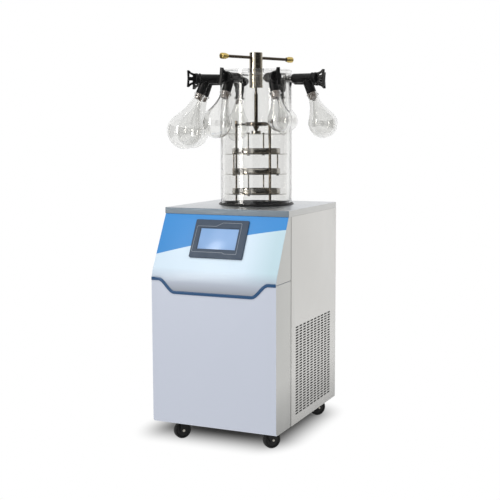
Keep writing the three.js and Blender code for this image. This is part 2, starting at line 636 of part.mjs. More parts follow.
function coldTrap() {
  const floor = TOP_HEIGHT - TRAP_DEPTH;
  const outer = TRAP_RADIUS + TRAP_WALL;
  const well = turned([
    [0, floor - TRAP_WALL], [outer - TRAP_BEVEL, floor - TRAP_WALL],
    [outer, floor - TRAP_WALL + TRAP_BEVEL],
    [outer, TOP_HEIGHT + SEAT_GAP], [outer + TRAP_FLANGE, TOP_HEIGHT + SEAT_GAP],
    [outer + TRAP_FLANGE, TRAP_FLANGE_TOP], [TRAP_RADIUS, TRAP_FLANGE_TOP],
    [TRAP_RADIUS, floor - TRAP_WALL + TRAP_BEVEL], [TRAP_RADIUS - TRAP_BEVEL, floor], [0, floor],
  ], ROUND_LARGE).translate(AXIS_X, AXIS_Y, 0);
  const pipeStart = AXIS_Y + TRAP_RADIUS - 2 * BITE;
  const pipe = alongY(turned([
    [0, pipeStart], [PIPE_RADIUS, pipeStart], [PIPE_RADIUS, PIPE_END - PIPE_FLANGE_THICKNESS],
    [PIPE_FLANGE_RADIUS, PIPE_END - PIPE_FLANGE_THICKNESS], [PIPE_FLANGE_RADIUS, PIPE_END], [0, PIPE_END],
  ], ROUND_MEDIUM)).translate(AXIS_X, 0, PIPE_HEIGHT);
  const inside = disc(TRAP_RADIUS, floor + TRAP_BEVEL, TOP_HEIGHT, ROUND_LARGE).translate(AXIS_X, AXIS_Y, 0);
  const bore = alongY(disc(PIPE_BORE, AXIS_Y + TRAP_RADIUS / 2, PIPE_END + BITE, ROUND_SMALL))
    .translate(AXIS_X, 0, PIPE_HEIGHT);
  return mesh('cold_trap', cut(join(well, cut(pipe, inside)), bore), STAINLESS);
}

function compressor() {
  const bottom = GROUND_CLEARANCE + SHEET + SEAT_GAP;
  const foot = bottom + COMPRESSOR_FOOT;
  const [r, h] = [COMPRESSOR_RADIUS, COMPRESSOR_HEIGHT];
  const side = COMPRESSOR_SIDE.map(([out, up]) => [r * out, foot + h * up]);
  const shell = turned([[0, foot], ...side], ROUND_MEDIUM);
  const depth = r * COMPRESSOR_PLATE_SHARE;
  const plate = block(-r, r, -depth, depth, foot - BITE, foot + SHEET);
  const feet = [[-1, -1], [1, -1], [1, 1], [-1, 1]].map(([x, y]) => (
    disc(COMPRESSOR_FOOT, bottom, foot, ROUND_SMALL).translate(x * depth, y * r * COMPRESSOR_FOOT_SHARE, 0)));
  const piece = mesh('compressor', join(shell, plate, ...feet), BLACK_ENAMEL);
  piece.position.set(COMPRESSOR_SIDE_SETBACK - HALF_WIDTH, FRONT_EDGE + COMPRESSOR_FRONT_SETBACK, 0);
  return piece;
}

// Fin block, fan shroud, bracket, motor and shaft: one brazed and bolted unit.
function condenser() {
  const [w, h] = [CONDENSER_WIDTH / 2, CONDENSER_HEIGHT / 2];
  const shroudFront = FAN_Y - SHROUD_DEPTH / 2;
  const shroudBack = FAN_Y + SHROUD_DEPTH / 2;
  const finFront = shroudFront - CONDENSER_DEPTH;
  const pitch = (CONDENSER_WIDTH - CONDENSER_FRAME) / CONDENSER_FINS;
  const gap = pitch * CONDENSER_GAP_SHARE / 2;
  const gaps = slotGrid(CONDENSER_FINS, 1, pitch, 0).map(([x]) => (
    block(x - gap, x + gap, finFront - BITE, shroudFront + 2 * BITE, -h + CONDENSER_FRAME,
      h - CONDENSER_FRAME)));
  const fins = cut(block(-w, w, finFront, shroudFront + BITE, -h, h), ...gaps);
  const tunnel = alongY(disc(FAN_RADIUS + FAN_TIP_GAP, shroudFront + BITE, shroudBack + BITE, ROUND_LARGE));
  const shroud = cut(block(-w, w, shroudFront, shroudBack, -h, h), tunnel,
    alongY(disc(FAN_RADIUS, shroudFront - BITE, shroudFront + 2 * BITE, ROUND_LARGE)));
  const bracket = block(-FAN_BRACKET_WIDTH / 2, FAN_BRACKET_WIDTH / 2,
    shroudBack - FAN_BRACKET_THICKNESS, shroudBack, -h, h);
  const motor = alongY(disc(FAN_MOTOR_RADIUS, shroudBack - FAN_BRACKET_THICKNESS,
    shroudBack - FAN_BRACKET_THICKNESS + FAN_MOTOR_LENGTH, ROUND_MEDIUM));
  const shaft = alongY(disc(FAN_SHAFT_RADIUS, FAN_Y - FAN_HUB_LENGTH / 2,
    shroudBack - FAN_BRACKET_THICKNESS / 2, ROUND_SMALL));
  const piece = mesh('condenser', join(fins, shroud, bracket, motor, shaft), FIN_METAL);
  piece.position.set(CONDENSER_X, 0, FAN_Z);
  return piece;
}

function fanBlades() {
  const hub = disc(FAN_HUB_RADIUS, -FAN_HUB_LENGTH / 2, FAN_HUB_LENGTH / 2, ROUND_MEDIUM);
  const blades = Array.from({ length: FAN_BLADES }, (_, i) => (
    block(FAN_HUB_RADIUS / 2, FAN_RADIUS - FAN_BLADE_SETBACK, -FAN_BLADE_CHORD / 2, FAN_BLADE_CHORD / 2,
      -FAN_BLADE_THICKNESS / 2, FAN_BLADE_THICKNESS / 2)
      .rotateX(FAN_PITCH).rotateZ(2 * Math.PI * i / FAN_BLADES)));
  const bore = disc(FAN_SHAFT_RADIUS + FIT_GAP, -FAN_HUB_LENGTH, FAN_HUB_LENGTH, ROUND_SMALL);
  const outer = disc(FAN_RADIUS, -FAN_BLADE_CHORD, FAN_BLADE_CHORD, ROUND_MEDIUM);
  const wheel = common(cut(join(hub, ...blades), bore), outer);
  const piece = mesh('fan_blades', alongY(wheel), BLACK_PLASTIC);
  piece.position.set(CONDENSER_X, FAN_Y, FAN_Z);
  return piece;
}

// ---- Casters ------------------------------------------------------------------------------

function casterPlaces() {
  const [x, front, back] = [HALF_WIDTH - CASTER_SIDE_SETBACK, FRONT_FACE + CASTER_FRONT_SETBACK,
    BACK_EDGE - CASTER_REAR_SETBACK];
  return [[-x, front], [x, front], [-x, back], [x, back]];
}

// Fork about its own stem, rolling along +X, with its axle at a trail behind the stem.
function casterFork(name) {
  const top = GROUND_CLEARANCE - SEAT_GAP;
  const crown = top - COLLAR_HEIGHT;
  const half = WHEEL_WIDTH / 2 + SLIDE_GAP;
  const legLeft = CASTER_TRAIL - FORK_LEG_WIDTH / 2;
  const legRight = CASTER_TRAIL + FORK_LEG_WIDTH / 2;
  const stem = disc(STEM_RADIUS, top - BITE, top + STEM_HEIGHT, ROUND_SMALL);
  const collar = disc(COLLAR_RADIUS, crown, top, ROUND_MEDIUM);
  const bridge = block(-FORK_HEEL, legRight, -half - FORK_PLATE, half + FORK_PLATE,
    crown - FORK_PLATE, crown + BITE);
  const legs = [-1, 1].map((side) => {
    const outline = new THREE.Shape([
      [legLeft, WHEEL_RADIUS], [legLeft + FORK_LEG_WIDTH / 4, WHEEL_RADIUS - FORK_LEG_WIDTH / 2],
      [legRight - FORK_LEG_WIDTH / 4, WHEEL_RADIUS - FORK_LEG_WIDTH / 2], [legRight, WHEEL_RADIUS],
      [legRight, crown], [-FORK_HEEL, crown],
    ].map(([x, z]) => new THREE.Vector2(x, z)));
    const inner = half * side;
    return extrudeForward(outline, Math.min(inner, inner + FORK_PLATE * side),
      Math.max(inner, inner + FORK_PLATE * side));
  });
  const axle = alongY(disc(AXLE_RADIUS, -half - 2 * FORK_PLATE, half + 2 * FORK_PLATE, ROUND_SMALL))
    .translate(CASTER_TRAIL, 0, WHEEL_RADIUS);
  return mesh(name, join(stem, collar, bridge, ...legs, axle), BLACK_PLASTIC);
}

function casterWheel(name) {
  const half = WHEEL_WIDTH / 2;
  const bore = AXLE_RADIUS + FIT_GAP;
  const inner = half - WHEEL_DISH;
  const tyre = turned([
    [bore, -half], [WHEEL_HUB_RADIUS, -half], [WHEEL_DISH_RADIUS, -inner], [WHEEL_TREAD_RADIUS, -half],
    [WHEEL_RADIUS, -inner], [WHEEL_RADIUS, inner], [WHEEL_TREAD_RADIUS, half], [WHEEL_DISH_RADIUS, inner],
    [WHEEL_HUB_RADIUS, half], [bore, half],
  ], ROUND_MEDIUM);
  const piece = mesh(name, alongY(tyre), RUBBER);
  piece.position.set(CASTER_TRAIL, 0, WHEEL_RADIUS);
  return piece;
}

function casters() {
  return casterPlaces().map(([x, y], i) => {
    const caster = new THREE.Group();
    caster.position.set(x, y, 0);
    caster.rotation.z = x < 0 ? CASTER_HEADING + Math.PI : CASTER_HEADING;
    caster.add(casterFork(`caster_fork_${i + 1}`), casterWheel(`caster_wheel_${i + 1}`));
    return caster;
  });
}

// ---- Chamber ------------------------------------------------------------------------------

function sealRing() {
  const bottom = TOP_HEIGHT + SEAT_GAP;
  const inner = CHAMBER_INNER - SEAT_GAP - SEAL_LIP;
  const ring = turned([
    [inner, bottom], [CHAMBER_RADIUS + SEAL_OVERHANG, bottom], [CHAMBER_RADIUS + SEAL_OVERHANG, SEAL_TOP],
    [CHAMBER_INNER - SEAT_GAP, SEAL_TOP], [CHAMBER_INNER - SEAT_GAP, SEAL_TOP + SEAL_LIP_HEIGHT],
    [inner, SEAL_TOP + SEAL_LIP_HEIGHT],
  ], ROUND_LARGE);
  return mesh('seal_ring', ring, RUBBER);
}

const portAngle = (i) => 2 * Math.PI * i / PORTS.length;

function chamber() {
  const [bottom, lid] = [SEAL_TOP + SEAT_GAP, CHAMBER_TOP - LID_THICKNESS];
  const hole = HUB_RADIUS + SLIDE_GAP;
  const bell = turned([
    [CHAMBER_INNER, bottom], [CHAMBER_RADIUS, bottom], [CHAMBER_RADIUS, CHAMBER_TOP],
    [hole, CHAMBER_TOP], [hole, lid], [CHAMBER_INNER, lid],
  ], ROUND_LARGE);
  const alongPort = (radius, x0, x1, facets, i) => alongX(disc(radius, x0, x1, facets))
    .rotateZ(portAngle(i)).translate(0, 0, PORT_HEIGHT);
  const end = CHAMBER_RADIUS + SOCKET_REACH;
  const inside = ARM_RADIUS + SLIDE_GAP;
  const sockets = PORTS.map((_, i) => (
    alongPort(inside + SOCKET_WALL, CHAMBER_INNER + CHAMBER_WALL / 4, end, ROUND_VALVE, i)));
  const sleeves = PORTS.map((_, i) => alongPort(inside, CHAMBER_RADIUS, end + BITE, ROUND_MEDIUM, i));
  const bores = PORTS.map((_, i) => (
    alongPort(PORT_BORE, CHAMBER_INNER - CHAMBER_WALL, end, ROUND_SMALL, i)));
  return mesh('chamber', cut(join(bell, ...sockets), ...sleeves, ...bores), ACRYLIC);
}

function postPlaces() {
  return POST_ANGLES.map((angle) => polar(POST_CIRCLE_RADIUS, angle));
}

function rackFrame() {
  const ring = turned([
    [RACK_RING_INNER, RACK_BOTTOM], [RACK_RING_OUTER, RACK_BOTTOM],
    [RACK_RING_OUTER, RACK_BOTTOM + RACK_RING_HEIGHT], [RACK_RING_INNER, RACK_BOTTOM + RACK_RING_HEIGHT],
  ], ROUND_LARGE);
  const nutTop = SPIDER_TOP + POST_NUT_HEIGHT;
  const posts = postPlaces().flatMap(([x, y]) => [
    disc(POST_RADIUS, RACK_BOTTOM + RACK_RING_HEIGHT / 2, SPIDER_TOP, ROUND_SMALL).translate(x, y, 0),
    disc(POST_NUT_RADIUS, SPIDER_BOTTOM, nutTop, ROUND_TINY).translate(x, y, 0),
  ]);
  const arms = POST_ANGLES.map((angle) => (
    block(0, POST_CIRCLE_RADIUS, -SPIDER_ARM_WIDTH / 2, SPIDER_ARM_WIDTH / 2,
      SPIDER_MIDDLE - SPIDER_ARM_THICKNESS / 2, SPIDER_MIDDLE + SPIDER_ARM_THICKNESS / 2)
      .rotateZ(THREE.MathUtils.degToRad(angle))));
  const hub = disc(SPIDER_RADIUS, SPIDER_BOTTOM, SPIDER_TOP, ROUND_MEDIUM);
  const thread = disc(SPINDLE_RADIUS + FIT_GAP, SPIDER_BOTTOM - BITE, SPIDER_TOP + BITE, ROUND_MEDIUM);
  return mesh('rack_frame', cut(join(ring, ...posts, ...arms, hub), thread), POLISHED);
}

// A disc with holes for the posts and for the hang rods of the shelf below it.
function rackDisc(z, rodAngles) {
  const hole = (x, y, radius) => (
    disc(radius, z - BITE, z + SHELF_THICKNESS + BITE, ROUND_SMALL).translate(x, y, 0));
  const postHoles = postPlaces().map(([x, y]) => hole(x, y, POST_RADIUS + SLIDE_GAP));
  const rodHoles = rodAngles.map((angle) => hole(...polar(POST_CIRCLE_RADIUS, angle), HANGER_RADIUS + FIT_GAP));
  return cut(disc(SHELF_RADIUS, z, z + SHELF_THICKNESS, ROUND_LARGE), ...postHoles, ...rodHoles);
}

function pressPlate() {
  const top = PRESS_PLATE_Z + SHELF_THICKNESS;
  const throat = SPINDLE_NECK_RADIUS + SLIDE_GAP;
  const cavity = BUTTON_RADIUS + SLIDE_GAP;
  const cup = turned([
    [cavity, top - BITE], [CUP_RADIUS, top - BITE], [CUP_RADIUS, CUP_TOP], [throat, CUP_TOP],
    [throat, CUP_TOP - CUP_WALL], [cavity, CUP_TOP - CUP_WALL],
  ], ROUND_MEDIUM);
  return mesh('press_plate', join(rackDisc(PRESS_PLATE_Z, HANGER_ANGLES), cup), POLISHED);
}

// A shelf with its two hang rods, whose heads rest on the disc above.
function shelf(number) {
  const z = shelfHeight(number);
  const own = number === 2 ? HANGER_ANGLES_MIDDLE : HANGER_ANGLES;
  const below = number === 1 ? HANGER_ANGLES_MIDDLE : HANGER_ANGLES;
  const headBottom = shelfHeight(number - 1) + SHELF_THICKNESS + SEAT_GAP;
  const rods = own.flatMap((angle) => {
    const [x, y] = polar(POST_CIRCLE_RADIUS, angle);
    return [
      disc(HANGER_RADIUS, z - HANGER_HEAD_HEIGHT, headBottom + BITE, ROUND_TINY).translate(x, y, 0),
      disc(HANGER_HEAD_RADIUS, headBottom, headBottom + HANGER_HEAD_HEIGHT, ROUND_TINY).translate(x, y, 0),
      disc(HANGER_HEAD_RADIUS, z - HANGER_HEAD_HEIGHT, z + SHELF_THICKNESS / 2, ROUND_TINY)
        .translate(x, y, 0),
    ];
  });
  const sheet = rackDisc(z, number === 3 ? [] : below);
  return mesh(`shelf_${number}`, join(sheet, ...rods), POLISHED);
}

// Underside of a shelf. The press plate counts as number 0.
function shelfHeight(number) {
  return PRESS_PLATE_Z - number * SHELF_PITCH;
}

function tray(number) {
  const z = shelfHeight(number) + SHELF_THICKNESS + SEAT_GAP;
  const top = z + TRAY_HEIGHT;
  const dish = turned([
    [0, z], [TRAY_RADIUS, z], [TRAY_RADIUS, top], [TRAY_RADIUS - TRAY_WALL, top],
    [TRAY_RADIUS - TRAY_WALL, z + TRAY_WALL], [0, z + TRAY_WALL],
  ], ROUND_LARGE);
  return mesh(`tray_${number}`, dish, POLISHED);
}

function tHandle() {
  const neckTop = HUB_BOTTOM;
  const neckBottom = neckTop - SPINDLE_NECK_HEIGHT;
  const coneTop = SPIDER_BOTTOM - SLIDE_GAP;
  const button = PRESS_PLATE_Z + SHELF_THICKNESS + SEAT_GAP;
  const groove = HUB_BOTTOM + HUB_COLLAR_HEIGHT;
  const hub = turned([
    [0, button], [BUTTON_RADIUS, button], [BUTTON_RADIUS, button + BUTTON_HEIGHT],
    [SPINDLE_NECK_RADIUS, button + BUTTON_HEIGHT], [SPINDLE_NECK_RADIUS, CUP_TOP + SLIDE_GAP],
    [CONE_RADIUS, coneTop], [SPINDLE_RADIUS, coneTop],
    [SPINDLE_RADIUS, neckBottom], [SPINDLE_NECK_RADIUS, neckBottom], [SPINDLE_NECK_RADIUS, neckTop],
    [HUB_RADIUS, neckTop], [HUB_RADIUS, groove - HUB_COLLAR_GROOVE],
    [HUB_RADIUS - HUB_COLLAR_GROOVE, groove - HUB_COLLAR_GROOVE],
    [HUB_RADIUS - HUB_COLLAR_GROOVE, groove], [HUB_RADIUS, groove], [HUB_RADIUS, HUB_TOP], [0, HUB_TOP],
  ], ROUND_MEDIUM);
  const half = HANDLE_SPAN / 2;
  const bar = alongX(disc(HANDLE_BAR_RADIUS, -half, half, ROUND_SMALL))
    .translate(HANDLE_SLIDE, 0, HANDLE_HEIGHT);
  return mesh('t_handle', join(hub, bar), POLISHED);
}

function handleCap(name, side) {
  const [r, inner] = [HANDLE_CAP_RADIUS, HANDLE_BAR_RADIUS + SEAT_GAP];
  const half = HANDLE_CAP_LENGTH / 2;
  const shell = turned([
    [0, SEAT_GAP], [inner, SEAT_GAP], [inner, -half], [inner + HANDLE_CAP_BEVEL, -half],
    [r, HANDLE_CAP_TAPER - half], [r, half - HANDLE_CAP_BEVEL], [r - HANDLE_CAP_BEVEL, half], [0, half],
  ], ROUND_MEDIUM);
  const cap = alongX(shell).translate(HANDLE_SPAN / 2, 0, 0);
  if (side < 0) cap.rotateZ(Math.PI);
  return mesh(name, cap.translate(HANDLE_SLIDE, 0, HANDLE_HEIGHT), BRASS);
}

function handle() {
  const group = new THREE.Group();
  group.rotation.z = HANDLE_TURN - CHAMBER_TURN;
  group.add(tHandle(), handleCap('handle_cap_left', -1), handleCap('handle_cap_right', 1));
  return group;
}

// ---- Valves and flasks, each about its arm, which starts at the origin and runs along +X ----

// Moves a piece made along -Z from the arm's axis onto the tilted branch.
function ontoBranch(geometry) {
  return geometry.rotateY(-BRANCH_TILT).translate(BRANCH_REACH, 0, 0);
}

function valveBody(number) {
  const bar = alongX(turned([
    [0, -SPIGOT_LENGTH], [SPIGOT_RADIUS, -SPIGOT_LENGTH], [SPIGOT_RADIUS, 0],
    [ARM_RADIUS, 0], [ARM_RADIUS, ARM_LENGTH - ARM_COLLAR_LENGTH],
    [ARM_COLLAR_RADIUS, ARM_LENGTH - ARM_COLLAR_LENGTH], [ARM_COLLAR_RADIUS, ARM_LENGTH], [0, ARM_LENGTH],
  ], ROUND_VALVE));
  const branch = ontoBranch(turned([
    [0, -BRANCH_LENGTH - PLUG_LENGTH], [PLUG_END_RADIUS, -BRANCH_LENGTH - PLUG_LENGTH],
    [PLUG_TOP_RADIUS, -BRANCH_LENGTH + SEAT_GAP], [BRANCH_RADIUS, -BRANCH_LENGTH + SEAT_GAP],
    [BRANCH_RADIUS, 0], [0, 0],
  ], ROUND_VALVE));
  const stemHole = alongX(disc(KNOB_STEM_RADIUS + FIT_GAP, ARM_LENGTH - KNOB_STEM_DEPTH - SEAT_GAP,
    ARM_LENGTH + BITE, ROUND_MEDIUM));
  const passage = alongX(disc(VALVE_BORE, -SPIGOT_LENGTH - BITE, BRANCH_REACH, ROUND_TINY));
  const drop = ontoBranch(disc(VALVE_BORE, -BRANCH_LENGTH - PLUG_LENGTH - BITE, BITE, ROUND_TINY));
  return mesh(`valve_body_${number}`, cut(join(bar, branch), stemHole, passage, drop), BLACK_PLASTIC);
}

function valveKnob(number) {
  const half = KNOB_BAR_LENGTH / 2;
  const root = ARM_LENGTH + SLIDE_GAP;
  const tip = KNOB_REACH - KNOB_TIP_THICKNESS;
  const lower = [
    [KNOB_REACH, half], [tip, half], [tip - KNOB_DISH, half - KNOB_TIP_TAPER],
    [root + KNOB_TIP_THICKNESS, KNOB_SHOULDER], [root, KNOB_SHOULDER],
  ];
  const upper = lower.map(([x, z]) => [x, -z]).reverse();
  const outline = new THREE.Shape(
    [[KNOB_REACH - KNOB_DISH, 0], ...lower, ...upper].map(([x, z]) => new THREE.Vector2(x, z)));
  const wing = extrudeForward(outline, -KNOB_BAR_WIDTH / 2, KNOB_BAR_WIDTH / 2);
  const stem = alongX(disc(KNOB_STEM_RADIUS, ARM_LENGTH - KNOB_STEM_DEPTH, root + BITE, ROUND_SMALL));
  return mesh(`valve_knob_${number}`, join(wing, stem), BLACK_PLASTIC);
}

// Side of a flask from the end of its neck to the bottom of its bulb, a wall inside its outside.
function flaskProfile(size, wall, bends) {
  const neck = FLASK_NECK_INNER + FLASK_WALL - wall;
  const bulb = size.bulb - wall;
  const flareOut = bulb * Math.cos(FLASK_SHOULDER) - neck;
  const flareDown = -size.drop + bulb * Math.sin(FLASK_SHOULDER) + FLASK_NECK_LENGTH;
  const points = [];
  for (let i = 0; i < FLARE_STEPS; i++) {
    const t = i / FLARE_STEPS;
    const drawnIn = FLASK_SWEEP * Math.sin(Math.PI * t);
    points.push([neck + flareOut * (t - drawnIn), -FLASK_NECK_LENGTH + flareDown * t]);
  }
  for (let i = 0; i < bends; i++) {
    const angle = FLASK_SHOULDER - (FLASK_SHOULDER + Math.PI / 2) * i / bends;
    points.push([bulb * Math.cos(angle), -size.drop + bulb * Math.sin(angle)]);
  }
  points.push([0, -size.drop - bulb]);
  return points;
}

function flask(number, size) {
  const outer = flaskProfile(size, 0, BULB_STEPS).reverse();
  const inner = flaskProfile(size, FLASK_WALL, BULB_STEPS - 1);
  const lip = FLASK_NECK_INNER + FLASK_WALL + FLASK_LIP;
  const glass = ontoBranch(turned([
    ...outer, [FLASK_NECK_INNER + FLASK_WALL, -FLASK_LIP_HEIGHT], [lip, -FLASK_LIP_HEIGHT], [lip, 0],
    [FLASK_NECK_INNER, 0], ...inner,
  ], ROUND_VALVE).translate(0, 0, -BRANCH_LENGTH));
  return mesh(`flask_${number}`, glass, GLASS);
}

function ports() {
  return PORTS.map(({ out, twist, size }, i) => {
    const arm = new THREE.Group();
    arm.position.x = CHAMBER_RADIUS + out;
    arm.rotation.x = THREE.MathUtils.degToRad(twist);
    arm.add(valveBody(i + 1), valveKnob(i + 1), flask(i + 1, size));
    const port = new THREE.Group();
    port.position.z = PORT_HEIGHT;
    port.rotation.z = portAngle(i);
    port.add(arm);
    return port;
  });
}

function chamberAssembly() {
  const group = new THREE.Group();
  group.position.set(AXIS_X, AXIS_Y, 0);
  group.rotation.z = CHAMBER_TURN;
  group.add(sealRing(), chamber(), rackFrame(), pressPlate(), handle(), ...ports());
  [1, 2, 3].forEach((number) => group.add(shelf(number), tray(number)));
  return group;
}

// ---- Assembly -----------------------------------------------------------------------------

const model = new THREE.Group();
model.add(
  basePan(), sidePanel('side_panel_left', -1), sidePanel('side_panel_right', 1), backPanel(),
  upperFrontCover(), lowerFrontPanel(), accentTrim(), topPlate(), displayHousing(), displayGlass(),
  powerInlet(), coldTrap(), compressor(), condenser(), fanBlades(), ...casters(), chamberAssembly());

// The origin goes to the floor, under the middle of the model.
model.updateMatrixWorld(true);
const extent = new THREE.Box3().setFromObject(model, true);
model.position.set(-(extent.min.x + extent.max.x) / 2, -(extent.min.y + extent.max.y) / 2, -extent.min.z);

const group = new THREE.Group();
group.name = 'freeze_dryer';
group.add(model);

export default group;
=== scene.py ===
"""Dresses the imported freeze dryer: smooth shells, glassware, fasteners and finishes.

Laid out as an add-on and run as a script. Every piece is built in metres, in the frame's own
place, and rides on the body that carries it.
"""

import json
import math

import bmesh
import bpy
from bpy.props import FloatProperty, FloatVectorProperty, IntProperty, PointerProperty
from mathutils import Matrix, Vector


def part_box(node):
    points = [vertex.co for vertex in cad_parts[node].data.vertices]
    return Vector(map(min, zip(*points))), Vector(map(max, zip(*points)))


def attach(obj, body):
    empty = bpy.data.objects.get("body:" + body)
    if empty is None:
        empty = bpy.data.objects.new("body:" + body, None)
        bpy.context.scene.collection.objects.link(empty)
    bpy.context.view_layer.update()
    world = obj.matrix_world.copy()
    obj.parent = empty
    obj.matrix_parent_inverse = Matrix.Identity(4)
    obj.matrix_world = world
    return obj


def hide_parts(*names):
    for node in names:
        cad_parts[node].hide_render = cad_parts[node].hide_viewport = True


bl_info = {
    "name": "Freeze Dryer",
    "version": (1, 0, 0),
    "blender": (4, 5, 0),
    "location": "View3D > Sidebar > Freeze Dryer",
    "description": "Builds the visible pieces and finishes of a laboratory freeze dryer",
    "category": "Object",
}

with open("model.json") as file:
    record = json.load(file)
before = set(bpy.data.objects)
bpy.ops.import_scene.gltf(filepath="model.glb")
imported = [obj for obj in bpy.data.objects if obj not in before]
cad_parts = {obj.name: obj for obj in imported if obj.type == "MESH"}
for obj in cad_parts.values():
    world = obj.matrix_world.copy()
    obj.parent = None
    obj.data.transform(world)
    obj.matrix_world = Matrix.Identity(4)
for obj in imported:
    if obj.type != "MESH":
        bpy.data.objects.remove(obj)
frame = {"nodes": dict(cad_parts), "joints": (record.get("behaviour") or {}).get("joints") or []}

MM = 0.001
FULL_TURN = 2 * math.pi

# ---- Places taken from the frame ----------------------------------------------------------

PLATE_LOW, PLATE_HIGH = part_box("top_plate")
COVER_LOW, COVER_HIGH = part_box("upper_front_cover")
PANEL_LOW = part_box("lower_front_panel")[0]
RIGHT_LOW, RIGHT_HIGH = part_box("side_panel_right")
LEFT_LOW, LEFT_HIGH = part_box("side_panel_left")
BACK_LOW, BACK_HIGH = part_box("back_panel")
SEAL_LOW, SEAL_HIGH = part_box("seal_ring")
# The posts' ends stand a little above the spider that the press screw runs in.
SPIDER_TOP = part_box("rack_frame")[1].z - 8 * MM
MIDDLE_X = (PLATE_LOW.x + PLATE_HIGH.x) / 2
AXIS = Vector(((SEAL_LOW.x + SEAL_HIGH.x) / 2, (SEAL_LOW.y + SEAL_HIGH.y) / 2, 0))
FRONT_EDGE = PLATE_LOW.y
FRONT_FACE = COVER_LOW.y
TOP = PLATE_HIGH.z
LID_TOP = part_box("chamber")[1].z
JOINTS = {joint["name"]: joint for joint in frame["joints"]}

# ---- Sizes shared with the solids, in metres ----------------------------------------------

CHAMBER_TURN = math.radians(-3.5)
HANDLE_TURN = math.radians(66.1)
SLANT = math.radians(28)
BEND_RADIUS = 100 * MM
TOE_RADIUS = 12 * MM
# Height of the bend's axis between the slanted face and the upright one.
BEND_HEIGHT = COVER_HIGH.z + (math.cos(SLANT) * (FRONT_FACE + BEND_RADIUS - FRONT_EDGE)
                              - BEND_RADIUS) / math.sin(SLANT)
FRONT_WALL = 2.5 * MM
SEAM_SIDE = TOP - 243 * MM
SEAM_MIDDLE = SEAM_SIDE - 45 * MM
SEAM_INNER = 146 * MM
SEAM_OUTER = 210 * MM
SHEET = 2 * MM
CHAMBER_RADIUS = 132.5 * MM
CHAMBER_WALL = 8 * MM
LID_THICKNESS = 14 * MM
POST_CIRCLE = 101 * MM
POST_ANGLES = (166, -32.5, 87)
HANGER_ANGLES = (-78.7, 101.3)
HANGER_ANGLES_MIDDLE = (63.9, -116.1)
SHELF_RADIUS = 115 * MM
PORT_HEIGHT = LID_TOP - 33 * MM
BRANCH_TILT = math.radians(22)
BRANCH_REACH = 56 * MM
BRANCH_LENGTH = 58 * MM
PIPE_HEIGHT = TOP - 60 * MM
WHEEL_RADIUS = 31.4 * MM
CASTER_TRAIL = 14 * MM
LARGE, MEDIUM, SMALL = (66 * MM, 145 * MM), (53 * MM, 116 * MM), (43 * MM, 102 * MM)
# How far each arm stands out of the wall, its twist in degrees, and its flask's bulb and drop.
PORTS = (
    (14 * MM, 0, MEDIUM), (14 * MM, 0, MEDIUM), (16 * MM, 0, SMALL), (14 * MM, 0, MEDIUM),
    (10 * MM, 0, LARGE), (1 * MM, -6, LARGE), (7 * MM, -7, MEDIUM), (1 * MM, 3, SMALL),
)
# Flasks that point straight along an axis are a little flat that way, within the solids' box.
FLAT_FLASKS = (1, 3, 5)
FLATNESS = 0.955

# ---- Sizes of the finishes and the stage, in metres ---------------------------------------

# How far up from the floor the painted shade on the paint reaches, and how far its edge wanders.
SHADE_REACH = 185 * MM
SHADE_DRIFT = 20 * MM
# The blue field ends at a line down the slant, given by its middle, slope and bow.
PRINT_DROP, PRINT_SLOPE, PRINT_BOW = 93.4 * MM, -0.2335, 0.149
PRINT_SHARPNESS = 2500
# The floor's shaded patch, a painted shadow: its shift from the cabinet, half sizes, and the widths
# it fades over.
PATCH_SHIFT = (-63 * MM, 40 * MM, 0)
PATCH_HALF = (190 * MM, 160 * MM, 0)
PATCH_FADE = (155 * MM, 240 * MM, 1)
FLOOR_HALF = 12
CAMERA_DEGREES = 24.2
CAMERA_ROLL = math.radians(-0.173)


# ---- Colours ------------------------------------------------------------------------------


def linear(red, green, blue):
    """A colour written as 0 to 255 per channel, in linear light."""
    def one(value):
        share = value / 255
        return share / 12.92 if share <= 0.04045 else ((share + 0.055) / 1.055) ** 2.4
    return one(red), one(green), one(blue)


def colour(name, description, red, green, blue):
    return FloatVectorProperty(name=name, description=description, subtype="COLOR", size=3,
                               min=0.0, max=1.0, default=linear(red, green, blue))


def size(name, description, millimetres):
    return FloatProperty(name=name, description=description, subtype="DISTANCE", unit="LENGTH",
                         min=0.0, default=millimetres * MM)


class CabinetSettings(bpy.types.PropertyGroup):
    """Sizes and colours of the cabinet."""

    plate_edge: size("Work top edge", "Radius of the work top's folded edges", 2.5)
    cover_edge: size("Cover edge", "Radius along the cheeks of the front covers", 2.5)
    slot_length: size("Vent length", "Length of one vent slot", 28)
    slot_height: size("Vent height", "Height of one vent slot", 5.7)
    slot_pitch_across: size("Vent pitch across", "Distance between vent columns", 36.2)
    slot_pitch_up: size("Vent pitch up", "Distance between vent rows", 9.7)
    white: colour("Front white", "Paint of the upper front cover", 210, 228, 242)
    panel: colour("Panel white", "Powder coat of the lower front panel", 202, 208, 222)
    print_blue: colour("Print blue", "Blue field of the front cover", 48, 137, 208)
    side: colour("Side grey", "Powder coat of the side and back sheets", 194, 193, 190)
    cheek: colour("Cheek grey", "Powder coat on the sides of the front covers", 180, 180, 177)
    stripe: colour("Stripe", "Dark blue strip over the seam", 10, 68, 112)
    steel: colour("Stainless", "Brushed stainless work top", 202, 205, 209)


